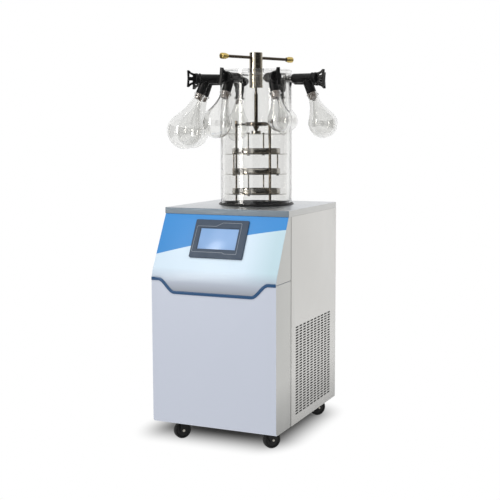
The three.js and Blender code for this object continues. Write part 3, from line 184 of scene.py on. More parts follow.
class ChamberSettings(bpy.types.PropertyGroup):
    """Sizes and colours of the chamber, rack, valves and flasks."""

    facets: IntProperty(name="Round facets", description="Facets of large round pieces",
                        min=24, max=256, default=96)
    rack_steel: colour("Rack steel", "Polished steel of the rack and shelves", 196, 192, 184)
    # A darker copy of the rack steel, painted shade for the dark reflections on the posts, hub and
    # rods.
    post_shaded_steel: colour("Post steel", "Darker steel of the posts, hub and hang rods", 118, 110, 100)
    handle_steel: colour("Handle steel", "Warmer steel of the press screw", 190, 182, 166)
    # A darker copy of the handle steel, painted shade for the dark reflections on the bar and
    # screw.
    bar_shaded_steel: colour("Bar steel", "Dark steel of the handle's bar and screw", 84, 76, 66)
    rubber: colour("Rubber", "Black rubber of seal and valves", 11, 11, 12)
    brass: colour("Brass", "Brass of the handle's end caps", 206, 182, 112)
    acrylic: colour("Acrylic", "Clear drying chamber", 246, 246, 245)
    glass: colour("Glass", "Clear flask glass", 245, 245, 244)


class StageSettings(bpy.types.PropertyGroup):
    """Lights, backdrop and camera."""

    key_power: FloatProperty(name="Key light", description="Power of the overhead light",
                             subtype="POWER", unit="POWER", min=0.0, default=49)
    side_power: FloatProperty(name="Side light", description="Power of the light at the right",
                              subtype="POWER", unit="POWER", min=0.0, default=31)
    ambient: FloatProperty(name="Ambient", description="Strength of the even light from all round",
                           min=0.0, default=0.45)
    lens: FloatProperty(name="Lens", description="Focal length on a 36 mm sensor",
                        subtype="DISTANCE_CAMERA", unit="CAMERA", min=1.0, default=73.0)


def cabinet_settings():
    return bpy.context.scene.freeze_dryer_cabinet


def chamber_settings():
    return bpy.context.scene.freeze_dryer_chamber


# ---- Mesh helpers -------------------------------------------------------------------------


def mm(points):
    """Points given in millimetres, in metres."""
    return [tuple(value * MM for value in point) for point in points]


def block(x0, x1, y0, y1, z0, z1):
    """A box from its limits along each axis."""
    mesh = bmesh.new()
    place = Matrix.Translation(((x0 + x1) / 2, (y0 + y1) / 2, (z0 + z1) / 2))
    grown = Matrix.Diagonal((x1 - x0, y1 - y0, z1 - z0, 1))
    bmesh.ops.create_cube(mesh, size=1, matrix=place @ grown)
    return mesh


def filled(low, high):
    """A box from its two corners."""
    return block(low.x, high.x, low.y, high.y, low.z, high.z)


def turned(profile, facets, closed=False):
    """A solid turned about Z from its section, a list of (radius, height)."""
    mesh = bmesh.new()
    points = [mesh.verts.new((radius, 0, height)) for radius, height in profile]
    edges = [mesh.edges.new(pair) for pair in zip(points, points[1:])]
    if closed:
        edges.append(mesh.edges.new((points[-1], points[0])))
    bmesh.ops.spin(mesh, geom=points + edges, cent=(0, 0, 0), axis=(0, 0, 1), dvec=(0, 0, 0),
                   angle=FULL_TURN, steps=facets, use_merge=True, use_duplicate=False)
    bmesh.ops.remove_doubles(mesh, verts=mesh.verts, dist=1e-6)
    bmesh.ops.recalc_face_normals(mesh, faces=mesh.faces)
    return mesh


def disc(radius, bottom, top, facets=32):
    return turned([(0, bottom), (radius, bottom), (radius, top), (0, top)], facets)


def rounded(corners, radius, steps=4, closed=True):
    """A flat outline of 2D corners, with each corner rounded. A third number is its own radius."""
    points = []
    count = len(corners)
    for index, corner in enumerate(corners):
        at = Vector(corner[:2])
        own = corner[2] if len(corner) > 2 else radius
        ends = not closed and index in (0, count - 1)
        before = Vector(corners[index - 1][:2]) - at
        after = Vector(corners[(index + 1) % count][:2]) - at
        if ends or own <= 0 or before.length < 1e-9 or after.length < 1e-9:
            points.append(tuple(at))
            continue
        half = before.angle(after) / 2
        if half > math.radians(89):
            points.append(tuple(at))
            continue
        reach = min(own / math.tan(half), 0.49 * before.length, 0.49 * after.length)
        own = reach * math.tan(half)
        middle = at + (before.normalized() + after.normalized()).normalized() * own / math.sin(half)
        start = at + before.normalized() * reach - middle
        turn = start.angle_signed(at + after.normalized() * reach - middle)
        for step in range(steps + 1):
            points.append(tuple(middle + Matrix.Rotation(-turn * step / steps, 2) @ start))
    return points


def rectangle(half_across, half_up):
    return [(-half_across, -half_up), (half_across, -half_up),
            (half_across, half_up), (-half_across, half_up)]


def prism(outline, depth, basis=Matrix.Identity(4)):
    """A flat outline raised along Z by a depth, then put in its place."""
    mesh = bmesh.new()
    face = mesh.faces.new([mesh.verts.new((x, y, 0)) for x, y in outline])
    raised = bmesh.ops.extrude_face_region(mesh, geom=[face])["geom"]
    tops = [part for part in raised if isinstance(part, bmesh.types.BMVert)]
    bmesh.ops.translate(mesh, verts=tops, vec=(0, 0, depth))
    bmesh.ops.recalc_face_normals(mesh, faces=mesh.faces)
    return placed(mesh, basis)


def placed(mesh, matrix):
    bmesh.ops.transform(mesh, matrix=matrix, verts=mesh.verts)
    return mesh


def soften(mesh, radius, segments=2, angle=30, where=None, clamp=True):
    """Rounds every edge sharper than an angle, or only those that a test picks."""
    limit = math.radians(angle)
    edges = [edge for edge in mesh.edges if edge.is_manifold
             and edge.calc_face_angle(0.0) > limit and (where is None or where(edge))]
    bmesh.ops.bevel(mesh, geom=edges, offset=radius, offset_type="OFFSET", affect="EDGES",
                    segments=segments, profile=0.5, material=-1, clamp_overlap=clamp)
    return mesh


def above(height):
    """A test that picks the edges above a height."""
    return lambda edge: all(vert.co.z > height for vert in edge.verts)


def merged(*meshes):
    """Several shells in one mesh."""
    whole = bmesh.new()
    for mesh in meshes:
        data = bpy.data.meshes.new("part")
        mesh.to_mesh(data)
        mesh.free()
        whole.from_mesh(data)
        bpy.data.meshes.remove(data)
    return whole


def linked(name, mesh):
    """Makes a mesh an object of the scene."""
    data = bpy.data.meshes.new(name)
    mesh.to_mesh(data)
    mesh.free()
    made = bpy.data.objects.new(name, data)
    bpy.context.scene.collection.objects.link(made)
    return made


def discard(*pieces):
    for piece in pieces:
        data = piece.data
        bpy.data.objects.remove(piece)
        bpy.data.meshes.remove(data)


def combined(mesh, tool, operation):
    """One solid joined with, cut by or limited to another."""
    whole, other = linked("scratch", mesh), linked("scratch", tool)
    modifier = whole.modifiers.new("combine", "BOOLEAN")
    modifier.operation = operation
    modifier.solver = "EXACT"
    modifier.object = other
    result = bmesh.new()
    result.from_object(whole, bpy.context.evaluated_depsgraph_get())
    discard(whole, other)
    if not result.faces:
        raise RuntimeError(f"nothing is left after {operation}")
    return result


def cut(mesh, *tools):
    for tool in tools:
        mesh = combined(mesh, tool, "DIFFERENCE")
    return mesh


def joined(mesh, *others):
    for other in others:
        mesh = combined(mesh, other, "UNION")
    return mesh


def piece(name, mesh, materials, body, slot, nodes=(), sharp=35):
    """Makes a mesh an object of the scene, dressed, and tied to the body that carries it."""
    limit = math.radians(sharp)
    for face in mesh.faces:
        face.smooth = True
    for edge in mesh.edges:
        edge.smooth = edge.is_manifold and edge.calc_face_angle(0.0) < limit
    made = linked(name, mesh)
    for material in materials if isinstance(materials, (list, tuple)) else [materials]:
        made.data.materials.append(material)
    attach(made, body)
    if nodes:
        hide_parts(*nodes)
    return made


def dress(node, finish):
    """Gives its finish to a solid that is shown as it is."""
    data = frame["nodes"][node].data
    data.materials.clear()
    data.materials.append(finish.material)


def about_axis(height=0.0, degrees=0.0):
    """Place of what stands about the chamber's axis and turns with it."""
    turn = CHAMBER_TURN + math.radians(degrees)
    return Matrix.Translation((AXIS.x, AXIS.y, height)) @ Matrix.Rotation(turn, 4, "Z")


def on_circle(radius, degrees):
    angle = math.radians(degrees)
    return Matrix.Translation((radius * math.cos(angle), radius * math.sin(angle), 0))


# Places an outline drawn in (across, up) on a wall that faces the front, or one that faces right.
FACING_FRONT = Matrix(((1, 0, 0, 0), (0, 0, -1, 0), (0, 1, 0, 0), (0, 0, 0, 1)))
FACING_RIGHT = Matrix(((0, 0, 1, 0), (1, 0, 0, 0), (0, 1, 0, 0), (0, 0, 0, 1)))
ALONG_X = Matrix.Rotation(math.pi / 2, 4, "Y")
ALONG_Y = Matrix.Rotation(-math.pi / 2, 4, "X")


# ---- Finishes -----------------------------------------------------------------------------


class Finish:
    """A procedural material built on one Principled shader."""

    def __init__(self, name, base, roughness=0.4, metallic=0.0, **sockets):
        self.material = bpy.data.materials.new(name)
        self.material.use_nodes = True
        self.tree = self.material.node_tree
        self.shader = self.tree.nodes["Principled BSDF"]
        self.base = tuple(base)
        self.set("Base Color", (*base, 1))
        self.set("Roughness", roughness)
        self.set("Metallic", metallic)
        for key, value in sockets.items():
            self.set(key.replace("_", " "), value)

    def set(self, socket, value):
        self.shader.inputs[socket].default_value = value

    def node(self, kind, **settings):
        made = self.tree.nodes.new(kind)
        for key, value in settings.items():
            setattr(made, key, value)
        return made

    def link(self, start, end):
        self.tree.links.new(start, end)

    def coordinates(self, scale=(1, 1, 1)):
        source = self.node("ShaderNodeTexCoord")
        mapping = self.node("ShaderNodeMapping")
        mapping.inputs["Scale"].default_value = scale
        self.link(source.outputs["Object"], mapping.inputs["Vector"])
        return mapping.outputs["Vector"]

    def noise(self, scale, stretch=(1, 1, 1), detail=3.0):
        """Noise on the piece's own coordinates, with this many grains to a metre."""
        texture = self.node("ShaderNodeTexNoise")
        texture.inputs["Scale"].default_value = scale
        texture.inputs["Detail"].default_value = detail
        self.link(self.coordinates(stretch), texture.inputs["Vector"])
        return texture.outputs["Fac"]

    def math(self, operation, first, second=0.0, clamp=False):
        made = self.node("ShaderNodeMath", operation=operation, use_clamp=clamp)
        for socket, value in zip(made.inputs, (first, second)):
            if isinstance(value, (int, float)):
                socket.default_value = value
            else:
                self.link(value, socket)
        return made.outputs["Value"]

    def spread(self, factor, low, high, from_low=0.3, from_high=0.7):
        made = self.node("ShaderNodeMapRange")
        for key, value in (("From Min", from_low), ("From Max", from_high),
                           ("To Min", low), ("To Max", high)):
            made.inputs[key].default_value = value
        self.link(factor, made.inputs["Value"])
        return made.outputs["Result"]

    def mix(self, factor, first, second):
        """A colour between two others. Each is a colour or another node's output."""
        made = self.node("ShaderNodeMix", data_type="RGBA")
        amount, *ends = [socket for socket in made.inputs if socket.enabled]
        self.link(factor, amount)
        for socket, value in zip(ends, (first, second)):
            if isinstance(value, tuple):
                socket.default_value = (*value, 1)
            else:
                self.link(value, socket)
        return next(socket for socket in made.outputs if socket.enabled)

    def mottle(self, factor, shade):
        """Lets the colour drift to a darker or lighter shade of itself."""
        other = tuple(min(1.0, channel * shade) for channel in self.base)
        self.link(self.mix(factor, self.base, other), self.shader.inputs["Base Color"])

    def rub(self, factor, low, high):
        self.link(self.spread(factor, low, high), self.shader.inputs["Roughness"])

    def bump(self, height, strength, distance):
        made = self.node("ShaderNodeBump")
        made.inputs["Strength"].default_value = strength
        made.inputs["Distance"].default_value = distance
        self.link(height, made.inputs["Height"])
        self.link(made.outputs["Normal"], self.shader.inputs["Normal"])


def powder_coat(name, base, roughness=0.38, painted_shade=None):
    """Sprayed and baked paint, with a faint orange peel. Painted shade darkens it towards the
    floor.
    """
    finish = Finish(name, base, roughness)
    if painted_shade is None:
        finish.mottle(finish.noise(5, detail=2.0), 0.985)
    else:
        split = finish.node("ShaderNodeSeparateXYZ")
        finish.link(finish.coordinates(), split.inputs["Vector"])
        uneven = finish.math("MULTIPLY", finish.noise(5, detail=2.0), SHADE_DRIFT)
        height = finish.math("ADD", split.outputs["Z"], uneven)
        low = PANEL_LOW.z
        # Painted shade: the colour grows darker towards the floor.
        finish.mottle(finish.spread(height, 1.0, 0.0, low, low + SHADE_REACH), painted_shade)
    finish.rub(finish.noise(14, detail=2.0), roughness - 0.04, roughness + 0.05)
    finish.bump(finish.noise(700, detail=2.0), 0.12, 0.0002)
    return finish


def brushed(name, base, roughness, stretch, metallic=1.0, strength=0.08):
    """Steel with fine brush lines across one direction."""
    finish = Finish(name, base, roughness, metallic)
    lines = finish.noise(260, stretch, 4.0)
    finish.mottle(lines, 0.9)
    finish.rub(lines, roughness - 0.05, roughness + 0.08)
    finish.bump(lines, strength, 0.0003)
    return finish


def moulded(name, base, roughness, grains=900, strength=0.15, gloss=0.5):
    """Moulded rubber or plastic with a fine grain."""
    finish = Finish(name, base, roughness, Specular_IOR_Level=gloss)
    finish.mottle(finish.noise(40), 1.25)
    finish.rub(finish.noise(60), roughness - 0.07, roughness + 0.1)
    finish.bump(finish.noise(grains, detail=2.0), strength, 0.0002)
    return finish


def clear(name, base, index, shine, waviness):
    """Clear blown or cast material with a shining skin and its slight waves."""
    finish = Finish(name, base, 0.0, IOR=index)
    finish.set("Transmission Weight", 1.0)
    finish.set("Coat Weight", shine)
    finish.set("Coat Roughness", 0.03)
    finish.bump(finish.noise(18, detail=1.0), waviness, 0.002)
    return finish


def cover_finish():
    """White paint with the blue field printed above a gently curved line, and painted shade on the
    white.
    """
    settings = cabinet_settings()
    finish = powder_coat("printed_cover", settings.white)
    split = finish.node("ShaderNodeSeparateXYZ")
    finish.link(finish.coordinates(), split.inputs["Vector"])
    across = finish.math("SUBTRACT", split.outputs["X"], MIDDLE_X)
    down = finish.math("SUBTRACT", COVER_HIGH.z, split.outputs["Z"])
    down = finish.math("DIVIDE", down, math.cos(SLANT))
    bow = finish.math("MULTIPLY", finish.math("MULTIPLY", across, across), PRINT_BOW)
    line = finish.math("ADD", finish.math("MULTIPLY", across, PRINT_SLOPE), bow)
    line = finish.math("ADD", line, PRINT_DROP)
    inside = finish.math("MULTIPLY", finish.math("SUBTRACT", line, down), PRINT_SHARPNESS,
                         clamp=True)
    drift = finish.spread(finish.noise(3, detail=1.0), 0.0, 0.5)
    blue = tuple(settings.print_blue)
    deep = tuple(channel * 0.9 for channel in blue)
    field = finish.mix(drift, blue, deep)
    # Painted shade turns the white greyer round the bend and down to the seam, and cooler at the
    # right.
    height = split.outputs["Z"]
    slanted = finish.mix(finish.spread(across, 0.0, 1.0, 110 * MM, 210 * MM),
                         tuple(settings.white), linear(188, 214, 224))
    upright = finish.mix(finish.spread(height, 0.0, 1.0, SEAM_MIDDLE, BEND_HEIGHT),
                         linear(147, 152, 161), linear(176, 184, 198))
    paint = finish.mix(finish.spread(height, 0.0, 1.0, BEND_HEIGHT, BEND_HEIGHT + 50 * MM),
                       upright, slanted)
    finish.link(finish.mix(inside, paint, field), finish.shader.inputs["Base Color"])
    return finish


# ---- Cabinet ------------------------------------------------------------------------------


def front_outline(inset):
    """Side view of the front covers as (y, z), set in by a wall."""
    top, low = COVER_HIGH.z, PANEL_LOW.z
    back = COVER_HIGH.y
    past = 2 * inset
    points = [(back + past, low - past)]
    if inset:
        points.append((FRONT_FACE + TOE_RADIUS, low - past))
    for centre, radius, start, stop, steps in (
            ((FRONT_FACE + TOE_RADIUS, low + TOE_RADIUS), TOE_RADIUS, -90, -180, 8),
            ((FRONT_FACE + BEND_RADIUS, BEND_HEIGHT), BEND_RADIUS, 180,
             180 - math.degrees(SLANT), 20)):
        for step in range(steps + 1):
            angle = math.radians(start + (stop - start) * step / steps)
            points.append((centre[0] + (radius - inset) * math.cos(angle),
                           centre[1] + (radius - inset) * math.sin(angle)))
    points.append((FRONT_EDGE + inset * (1 - math.sin(SLANT)) / math.cos(SLANT), top - inset))
    points.append((back + past, top - inset))
    return points


def front_solid(inset, half_width):
    """The whole front section between two cheeks."""
    basis = Matrix.Translation((MIDDLE_X - half_width, 0, 0)) @ FACING_RIGHT
    return prism(front_outline(inset), 2 * half_width, basis)


def seam_points(offset, reach):
    """The seam as (across, up), high at both sides and low in the middle."""
    steps = 28
    rise, run = SEAM_SIDE - SEAM_MIDDLE, SEAM_OUTER - SEAM_INNER
    half = []
    for step in range(steps + 1):
        share = step / steps
        slope = rise / run * math.pi / 2 * math.sin(math.pi * share)
        length = math.hypot(1, slope)
        half.append((SEAM_INNER + run * share - offset * slope / length,
                     SEAM_MIDDLE + rise * (1 - math.cos(math.pi * share)) / 2 + offset / length))
    half.append((reach, SEAM_SIDE + offset))
    return [(-x, z) for x, z in reversed(half)] + half


def seam_block(offset, far):
    """Everything on one side of the seam."""
    reach = 260 * MM
    outline = seam_points(offset, reach) + [(reach, far), (-reach, far)]
    basis = Matrix.Translation((MIDDLE_X, COVER_HIGH.y + 0.1, 0)) @ FACING_FRONT
    return prism(outline, 0.3, basis)


def display_place():
    """Middle of the touch panel on the slanted face, with Z out of it."""
    drop, shift = 92 * MM, 3 * MM
    at = (MIDDLE_X - shift, FRONT_EDGE - drop * math.sin(SLANT),
          COVER_HIGH.z - drop * math.cos(SLANT))
    return Matrix.Translation(at) @ Matrix.Rotation(math.pi / 2 - SLANT, 4, "X")


def screw_head(radius=3.6 * MM, height=0.4 * MM):
    """A pan head screw with a cross recess, standing up along Z."""
    head = turned([(0, -height), (radius, -height), (radius, height * 0.3),
                   (radius * 0.72, height * 0.85), (radius * 0.3, height), (0, height)], 16)
    for turn in (0, math.pi / 2):
        slot = block(-radius * 0.55, radius * 0.55, -radius * 0.13, radius * 0.13,
                     height * 0.2, height * 2)
        head = cut(head, placed(slot, Matrix.Rotation(turn, 4, "Z")))
    return head


def spread_out(mesh, places):
    """Copies of a small mesh at each place, in one mesh."""
    whole = merged(*[placed(mesh.copy(), place) for place in places])
    mesh.free()
    return whole


def slot_outline(length, height, steps=3):
    return rounded(rectangle(length / 2, height / 2), height * 0.45, steps)


class DRYER_OT_work_top(bpy.types.Operator):
    """Build the stainless work top with its folded edges and round opening"""

    bl_idname = "dryer.work_top"
    bl_label = "Work Top"

    def execute(self, context):
        settings = cabinet_settings()
        opening = 109.6 * MM
        plate = filled(PLATE_LOW, PLATE_HIGH)
        soften(plate, settings.plate_edge, 4, where=lambda edge: any(
            vert.co.z > TOP - MM for vert in edge.verts))
        inside = block(PLATE_LOW.x + SHEET, PLATE_HIGH.x - SHEET, PLATE_LOW.y + SHEET,
                       PLATE_HIGH.y - SHEET, PLATE_LOW.z - SHEET, PLATE_HIGH.z - SHEET)
        hole = placed(disc(opening, TOP - 0.02, TOP + 0.02, settings_facets()), about_axis())
        plate = cut(plate, inside, hole)
        steel = brushed("work_top_steel", settings.steel, 0.3, (0.06, 1, 1))
        # The front and side edges take darker and lighter copies of the same steel: painted shade
        # on the front edge, painted highlight on the sides.
        front_edge_shade = brushed("front_edge_shaded_steel", linear(114, 126, 136), 0.5, (0.06, 1, 1), 0.3)
        side_edge_highlight = brushed("side_edge_highlit_steel", linear(198, 198, 196), 0.5, (1, 0.06, 1), 0.3)
        for face in plate.faces:
            if face.normal.y < -0.8:
                face.material_index = 1
            elif abs(face.normal.x) > 0.8:
                face.material_index = 2
        piece("work_top", plate, [steel.material, front_edge_shade.material, side_edge_highlight.material], "cabinet",
              "stainless", ["top_plate"])
        return {"FINISHED"}


def settings_facets():
    return chamber_settings().facets


class DRYER_OT_front_covers(bpy.types.Operator):
    """Build the printed upper cover, the lower panel and the strip over their seam"""

    bl_idname = "dryer.front_covers"
    bl_label = "Front Covers"

    def shell(self, far, offset, extra=()):
        """The half of the front section that lies on one side of the seam."""
        settings = cabinet_settings()
        half = (COVER_HIGH.x - COVER_LOW.x) / 2
        whole = front_solid(0.0, half)
        soften(whole, settings.cover_edge, 3, clamp=False, where=lambda edge: all(
            abs(abs(vert.co.x - MIDDLE_X) - half) < 1e-5 and vert.co.y < COVER_HIGH.y - MM
            for vert in edge.verts))
        return cut(whole, front_solid(FRONT_WALL, half - FRONT_WALL), seam_block(offset, far),
                   *extra)

    def execute(self, context):
        settings = cabinet_settings()
        gap, stripe_half = MM, 5.6 * MM
        half_across, half_up = 93.6 * MM, 63.1 * MM
        window = placed(block(-half_across, half_across, -half_up, half_up, -0.035, 0.02),
                        display_place())
        upper = self.shell(0.0, gap, [window])
        lower = self.shell(1.0, -gap)
        # The cheek paint darkens towards the floor as painted shade.
        cheek = powder_coat("cheek_paint", settings.cheek, 0.45, 0.5)
        for name, mesh, face, slot, node in (
                ("front_cover", upper, cover_finish(), "cabinet_paint", "upper_front_cover"),
                ("front_panel", lower, powder_coat("panel_paint", settings.panel),
                 "panel_paint", "lower_front_panel")):
            for side in mesh.faces:
                side.material_index = int(abs(side.normal.x) > 0.8)
            piece(name, mesh, [face.material, cheek.material], "cabinet", slot, [node])
        half = (COVER_HIGH.x - COVER_LOW.x) / 2
        back = FRONT_FACE - 0.3 * MM
        reach, thick = half - MM, 1.6 * MM
        outline = seam_points(stripe_half, reach) + seam_points(-stripe_half, reach)[::-1]
        strip = prism(outline, thick, Matrix.Translation((MIDDLE_X, back, 0)) @ FACING_FRONT)
        soften(strip, 0.7 * MM, 3, where=lambda edge: all(
            vert.co.y < back - thick / 2 for vert in edge.verts))
        gloss = Finish("stripe_gloss", settings.stripe, 0.28)
        gloss.mottle(gloss.noise(30), 1.15)
        gloss.bump(gloss.noise(500), 0.05, 0.0002)
        piece("seam_strip", strip, gloss.material, "cabinet", "stripe_blue", ["accent_trim"])
        # A dark liner closes the seam behind its gap. Its dark paint is painted shade in the gap.
        liner = cut(front_solid(FRONT_WALL + 0.3 * MM, half - FRONT_WALL - 0.3 * MM),
                    front_solid(FRONT_WALL + 1.5 * MM, half - FRONT_WALL - 1.5 * MM),
                    seam_block(-12 * MM, 0.0), seam_block(12 * MM, 1.0))
        dark = powder_coat("seam_gap_shade_paint", linear(46, 42, 40), 0.6)
        piece("seam_liner", liner, dark.material, "cabinet", "side_paint")
        return {"FINISHED"}


class DRYER_OT_display(bpy.types.Operator):
    """Build the touch panel: bezel, raised line and screen"""

    bl_idname = "dryer.display"
    bl_label = "Touch Panel"

    def execute(self, context):
        place = display_place()
        half_across, half_up = 102 * MM, 71.5 * MM
        stand = 6 * MM
        bezel = prism(rounded(rectangle(half_across, half_up), 5 * MM, 6), stand - 0.3 * MM,
                      Matrix.Translation((0, 0, 0.3 * MM)))
        soften(bezel, 1.6 * MM, 4, where=above(stand / 2))
        body = block(-93 * MM, 93 * MM, -62.5 * MM, 62.5 * MM, -32 * MM, stand / 2)
        left, right, low, high = -76.5 * MM, 69 * MM, -39 * MM, 39 * MM
        pocket = block(left, right, low, high, stand - 3.4 * MM, 0.02)
        sloped = block(left - 3 * MM, right + 3 * MM, low - 3 * MM, high + 3 * MM,
                       stand - 1.2 * MM, 0.02)
        bezel = cut(joined(bezel, body), pocket, sloped)
        plastic = moulded("bezel_plastic", linear(58, 70, 86), 0.5, 1400, 0.1, 0.3)
        piece("panel_bezel", placed(bezel, place), plastic.material, "cabinet",
              "slate_plastic", ["display_housing"])
        # The raised line round the screen, with its step at the top left and bottom right.
        route = mm([(-92, 46), (-20, 46), (4, 60), (77, 60), (77, -55), (31, -55), (24, -51),
                    (-95, -51)])
        inner = self.offset_route(route, -0.9 * MM)
        outer = self.offset_route(route, 0.9 * MM)
        ridge = prism(outer, 0.7 * MM, Matrix.Translation((0, 0, stand - 0.2 * MM)))
        ridge = cut(ridge, prism(inner, 0.02, Matrix.Translation((0, 0, -0.01 + stand))))
        line = moulded("bezel_line", linear(112, 122, 134), 0.35, 1400, 0.05)
        piece("panel_ridge", placed(ridge, place), line.material, "cabinet", "slate_plastic")
        gap = 0.3 * MM
        glass = block(left + gap, right - gap, low + gap, high - gap,
                      stand - 3.3 * MM, stand - 2.3 * MM)
        soften(glass, 0.25 * MM, 2)
        piece("panel_screen", placed(glass, place), self.screen().material, "cabinet", "screen",
              ["display_glass"])
        return {"FINISHED"}

    def offset_route(self, route, distance):
        """The same closed route, moved out by a distance, with its corners rounded."""
        moved = []
        count = len(route)
        for index in range(count):
            before, at, after = (Vector(route[(index + step) % count]) for step in (-1, 0, 1))
            first, second = (at - before).normalized(), (after - at).normalized()
            normal = Vector((-first.y - second.y, first.x + second.x)).normalized()
            reach = distance / max(0.3, abs(normal.dot(Vector((first.y, -first.x)))))
            moved.append(tuple(at + normal * reach))
        return rounded(moved, 4 * MM, 3)

    def screen(self):
        """A lit pale blue screen, its tone drifting a little across it."""
        low, high = linear(122, 160, 206), linear(142, 174, 216)
        finish = Finish("screen_glass", low, 0.25)
        drift = finish.spread(finish.noise(9, detail=1.0), 0.0, 1.0)
        shade = finish.mix(drift, low, high)
        finish.link(shade, finish.shader.inputs["Base Color"])
        finish.link(shade, finish.shader.inputs["Emission Color"])
        finish.set("Emission Strength", 0.1)
        return finish


class DRYER_OT_side_panels(bpy.types.Operator):
    """Build both side sheets with their vent slots and screws"""

    bl_idname = "dryer.side_panels"
    bl_label = "Side Panels"

    def execute(self, context):
        settings = cabinet_settings()
        # The side paint darkens towards the floor as painted shade.
        paint = powder_coat("side_paint", settings.side, 0.42, 0.6)
        # The near black vent liner is painted shade: a dark sheet behind the slots.
        painted_shade = powder_coat("vent_shade_paint", linear(16, 15, 15), 0.8)
        zinc = Finish("screw_steel", linear(58, 56, 54), 0.35, 1.0)
        zinc.mottle(zinc.noise(900), 0.6)
        zinc.rub(zinc.noise(300), 0.25, 0.5)
        columns, rows = 10, 33
        past_y, past_z = 24 * MM, 10 * MM
        first_y, first_z = FRONT_EDGE + 77 * MM, RIGHT_LOW.z + 34.8 * MM
        screws = ((55, 770), (431, 770), (55, 444), (431, 444), (55, 108), (431, 108))
        for side, low, high in (("right", RIGHT_LOW, RIGHT_HIGH), ("left", LEFT_LOW, LEFT_HIGH)):
            sheet = soften(filled(low, high), 0.8 * MM, 2)
            slots = [Matrix.Translation((low.x - 2 * MM,
                                         first_y + column * settings.slot_pitch_across,
                                         first_z + row * settings.slot_pitch_up))
                     for column in range(columns) for row in range(rows)]
            one = prism(slot_outline(settings.slot_length, settings.slot_height), 6 * MM,
                        FACING_RIGHT)
            sheet = cut(sheet, spread_out(one, slots))
            piece(f"side_sheet_{side}", sheet, paint.material, "cabinet", "side_paint",
                  [f"side_panel_{side}"])
            inward = -1 if side == "right" else 1
            skin = low.x if side == "right" else high.x
            near, far = sorted((skin + inward * 0.4 * MM, skin + inward * 1.2 * MM))
            last_y = first_y + (columns - 1) * settings.slot_pitch_across
            last_z = first_z + (rows - 1) * settings.slot_pitch_up
            mesh = block(near, far, first_y - past_y, last_y + past_y, first_z - past_z,
                         last_z + past_z)
            soften(mesh, 0.1 * MM, 1)
            piece(f"vent_liner_{side}", mesh, painted_shade.material, "cabinet", "side_paint")
            outward = Matrix.Rotation(math.pi / 2 if side == "right" else -math.pi / 2, 4, "Y")
            face = high.x - 0.4 * MM if side == "right" else low.x + 0.4 * MM
            places = [Matrix.Translation((face, FRONT_EDGE + y * MM, z * MM)) @ outward
                      for y, z in screws]
            heads = spread_out(screw_head(), places)
            piece(f"side_screws_{side}", heads, zinc.material, "cabinet", "side_paint")
        return {"FINISHED"}


class DRYER_OT_back_and_base(bpy.types.Operator):
    """Build the back sheet with its exhaust slots, the mains inlet and the base pan"""

    bl_idname = "dryer.back_and_base"
    bl_label = "Back and Base"

    def execute(self, context):
        settings = cabinet_settings()
        paint = powder_coat("back_paint", settings.side, 0.42)
        sheet = soften(filled(BACK_LOW, BACK_HIGH), 0.8 * MM, 2)
        fan_low, fan_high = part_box("fan_blades")
        fan_x, fan_z = (fan_low.x + fan_high.x) / 2, (fan_low.z + fan_high.z) / 2
        deep = BACK_HIGH.y + 4 * MM
        into = Matrix.Translation((0, deep, 0)) @ FACING_FRONT
        pitch_across, pitch_up = 88 * MM, 20 * MM
        slots = [into @ Matrix.Translation((fan_x + column * pitch_across,
                                            fan_z + row * pitch_up, 0))
                 for column in (-1, 0, 1) for row in range(-4, 5)]
        one = prism(slot_outline(72 * MM, 8 * MM, 5), 10 * MM)
        inlet_low, inlet_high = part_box("power_inlet")
        middle = (inlet_low + inlet_high) / 2
        half_across, half_up, pipe_hole = 15.3 * MM, 12.3 * MM, 20.6 * MM
        hole = block(middle.x - half_across, middle.x + half_across, BACK_LOW.y - 4 * MM, deep,
                     middle.z - half_up, middle.z + half_up)
        pipe = placed(disc(pipe_hole, -0.01, 0.01, 48),
                      Matrix.Translation((AXIS.x, BACK_HIGH.y - MM, PIPE_HEIGHT)) @ ALONG_Y)
        sheet = cut(sheet, spread_out(one, slots), hole, pipe)
        piece("back_sheet", sheet, paint.material, "cabinet", "side_paint", ["back_panel"])
        places = [Matrix.Translation((MIDDLE_X + x * MM, BACK_HIGH.y - 0.4 * MM, z * MM)) @ ALONG_Y
                  for x in (-225, 0, 225) for z in (92, 450, 802)]
        zinc = bpy.data.materials["screw_steel"]
        piece("back_screws", spread_out(screw_head(), places), zinc, "cabinet",
              "side_paint")
        self.inlet(middle)
        dress("base_pan", powder_coat("pan_paint", settings.side, 0.55))
        return {"FINISHED"}

    def inlet(self, middle):
        """A mains inlet with its flange, recess and three pins."""
        face = BACK_HIGH.y + 0.3 * MM
        flange = prism(rounded(rectangle(23 * MM, 16 * MM), 4 * MM, 5), 2.5 * MM)
        soften(flange, 0.6 * MM, 2, where=above(MM))
        body = block(-15 * MM, 15 * MM, -12 * MM, 12 * MM, -26 * MM, MM)
        corners = mm([(-12.5, -9.5), (12.5, -9.5), (12.5, 4), (7, 9.5), (-7, 9.5), (-12.5, 4)])
        recess = prism(rounded(corners, 1.5 * MM, 3), 0.03,
                       Matrix.Translation((0, 0, -23.5 * MM)))
        pins = [block(x * MM - MM, x * MM + MM, z * MM - 2 * MM, z * MM + 2 * MM,
                      -24 * MM, -3 * MM) for x, z in ((7, -2), (0, 3), (-7, -2))]
        outward = Matrix.Translation((middle.x, face, middle.z)) @ ALONG_Y
        socket = placed(cut(joined(flange, body), recess), outward)
        black = moulded("inlet_plastic", linear(22, 22, 24), 0.45)
        piece("mains_inlet", socket, black.material, "cabinet", "slate_plastic", ["power_inlet"])
        for pin in pins:
            soften(pin, 0.4 * MM, 2)
        tin = Finish("pin_tin", linear(190, 186, 176), 0.25, 1.0)
        tin.mottle(tin.noise(400), 0.8)
        piece("inlet_pins", placed(merged(*pins), outward), tin.material, "cabinet",
              "slate_plastic")


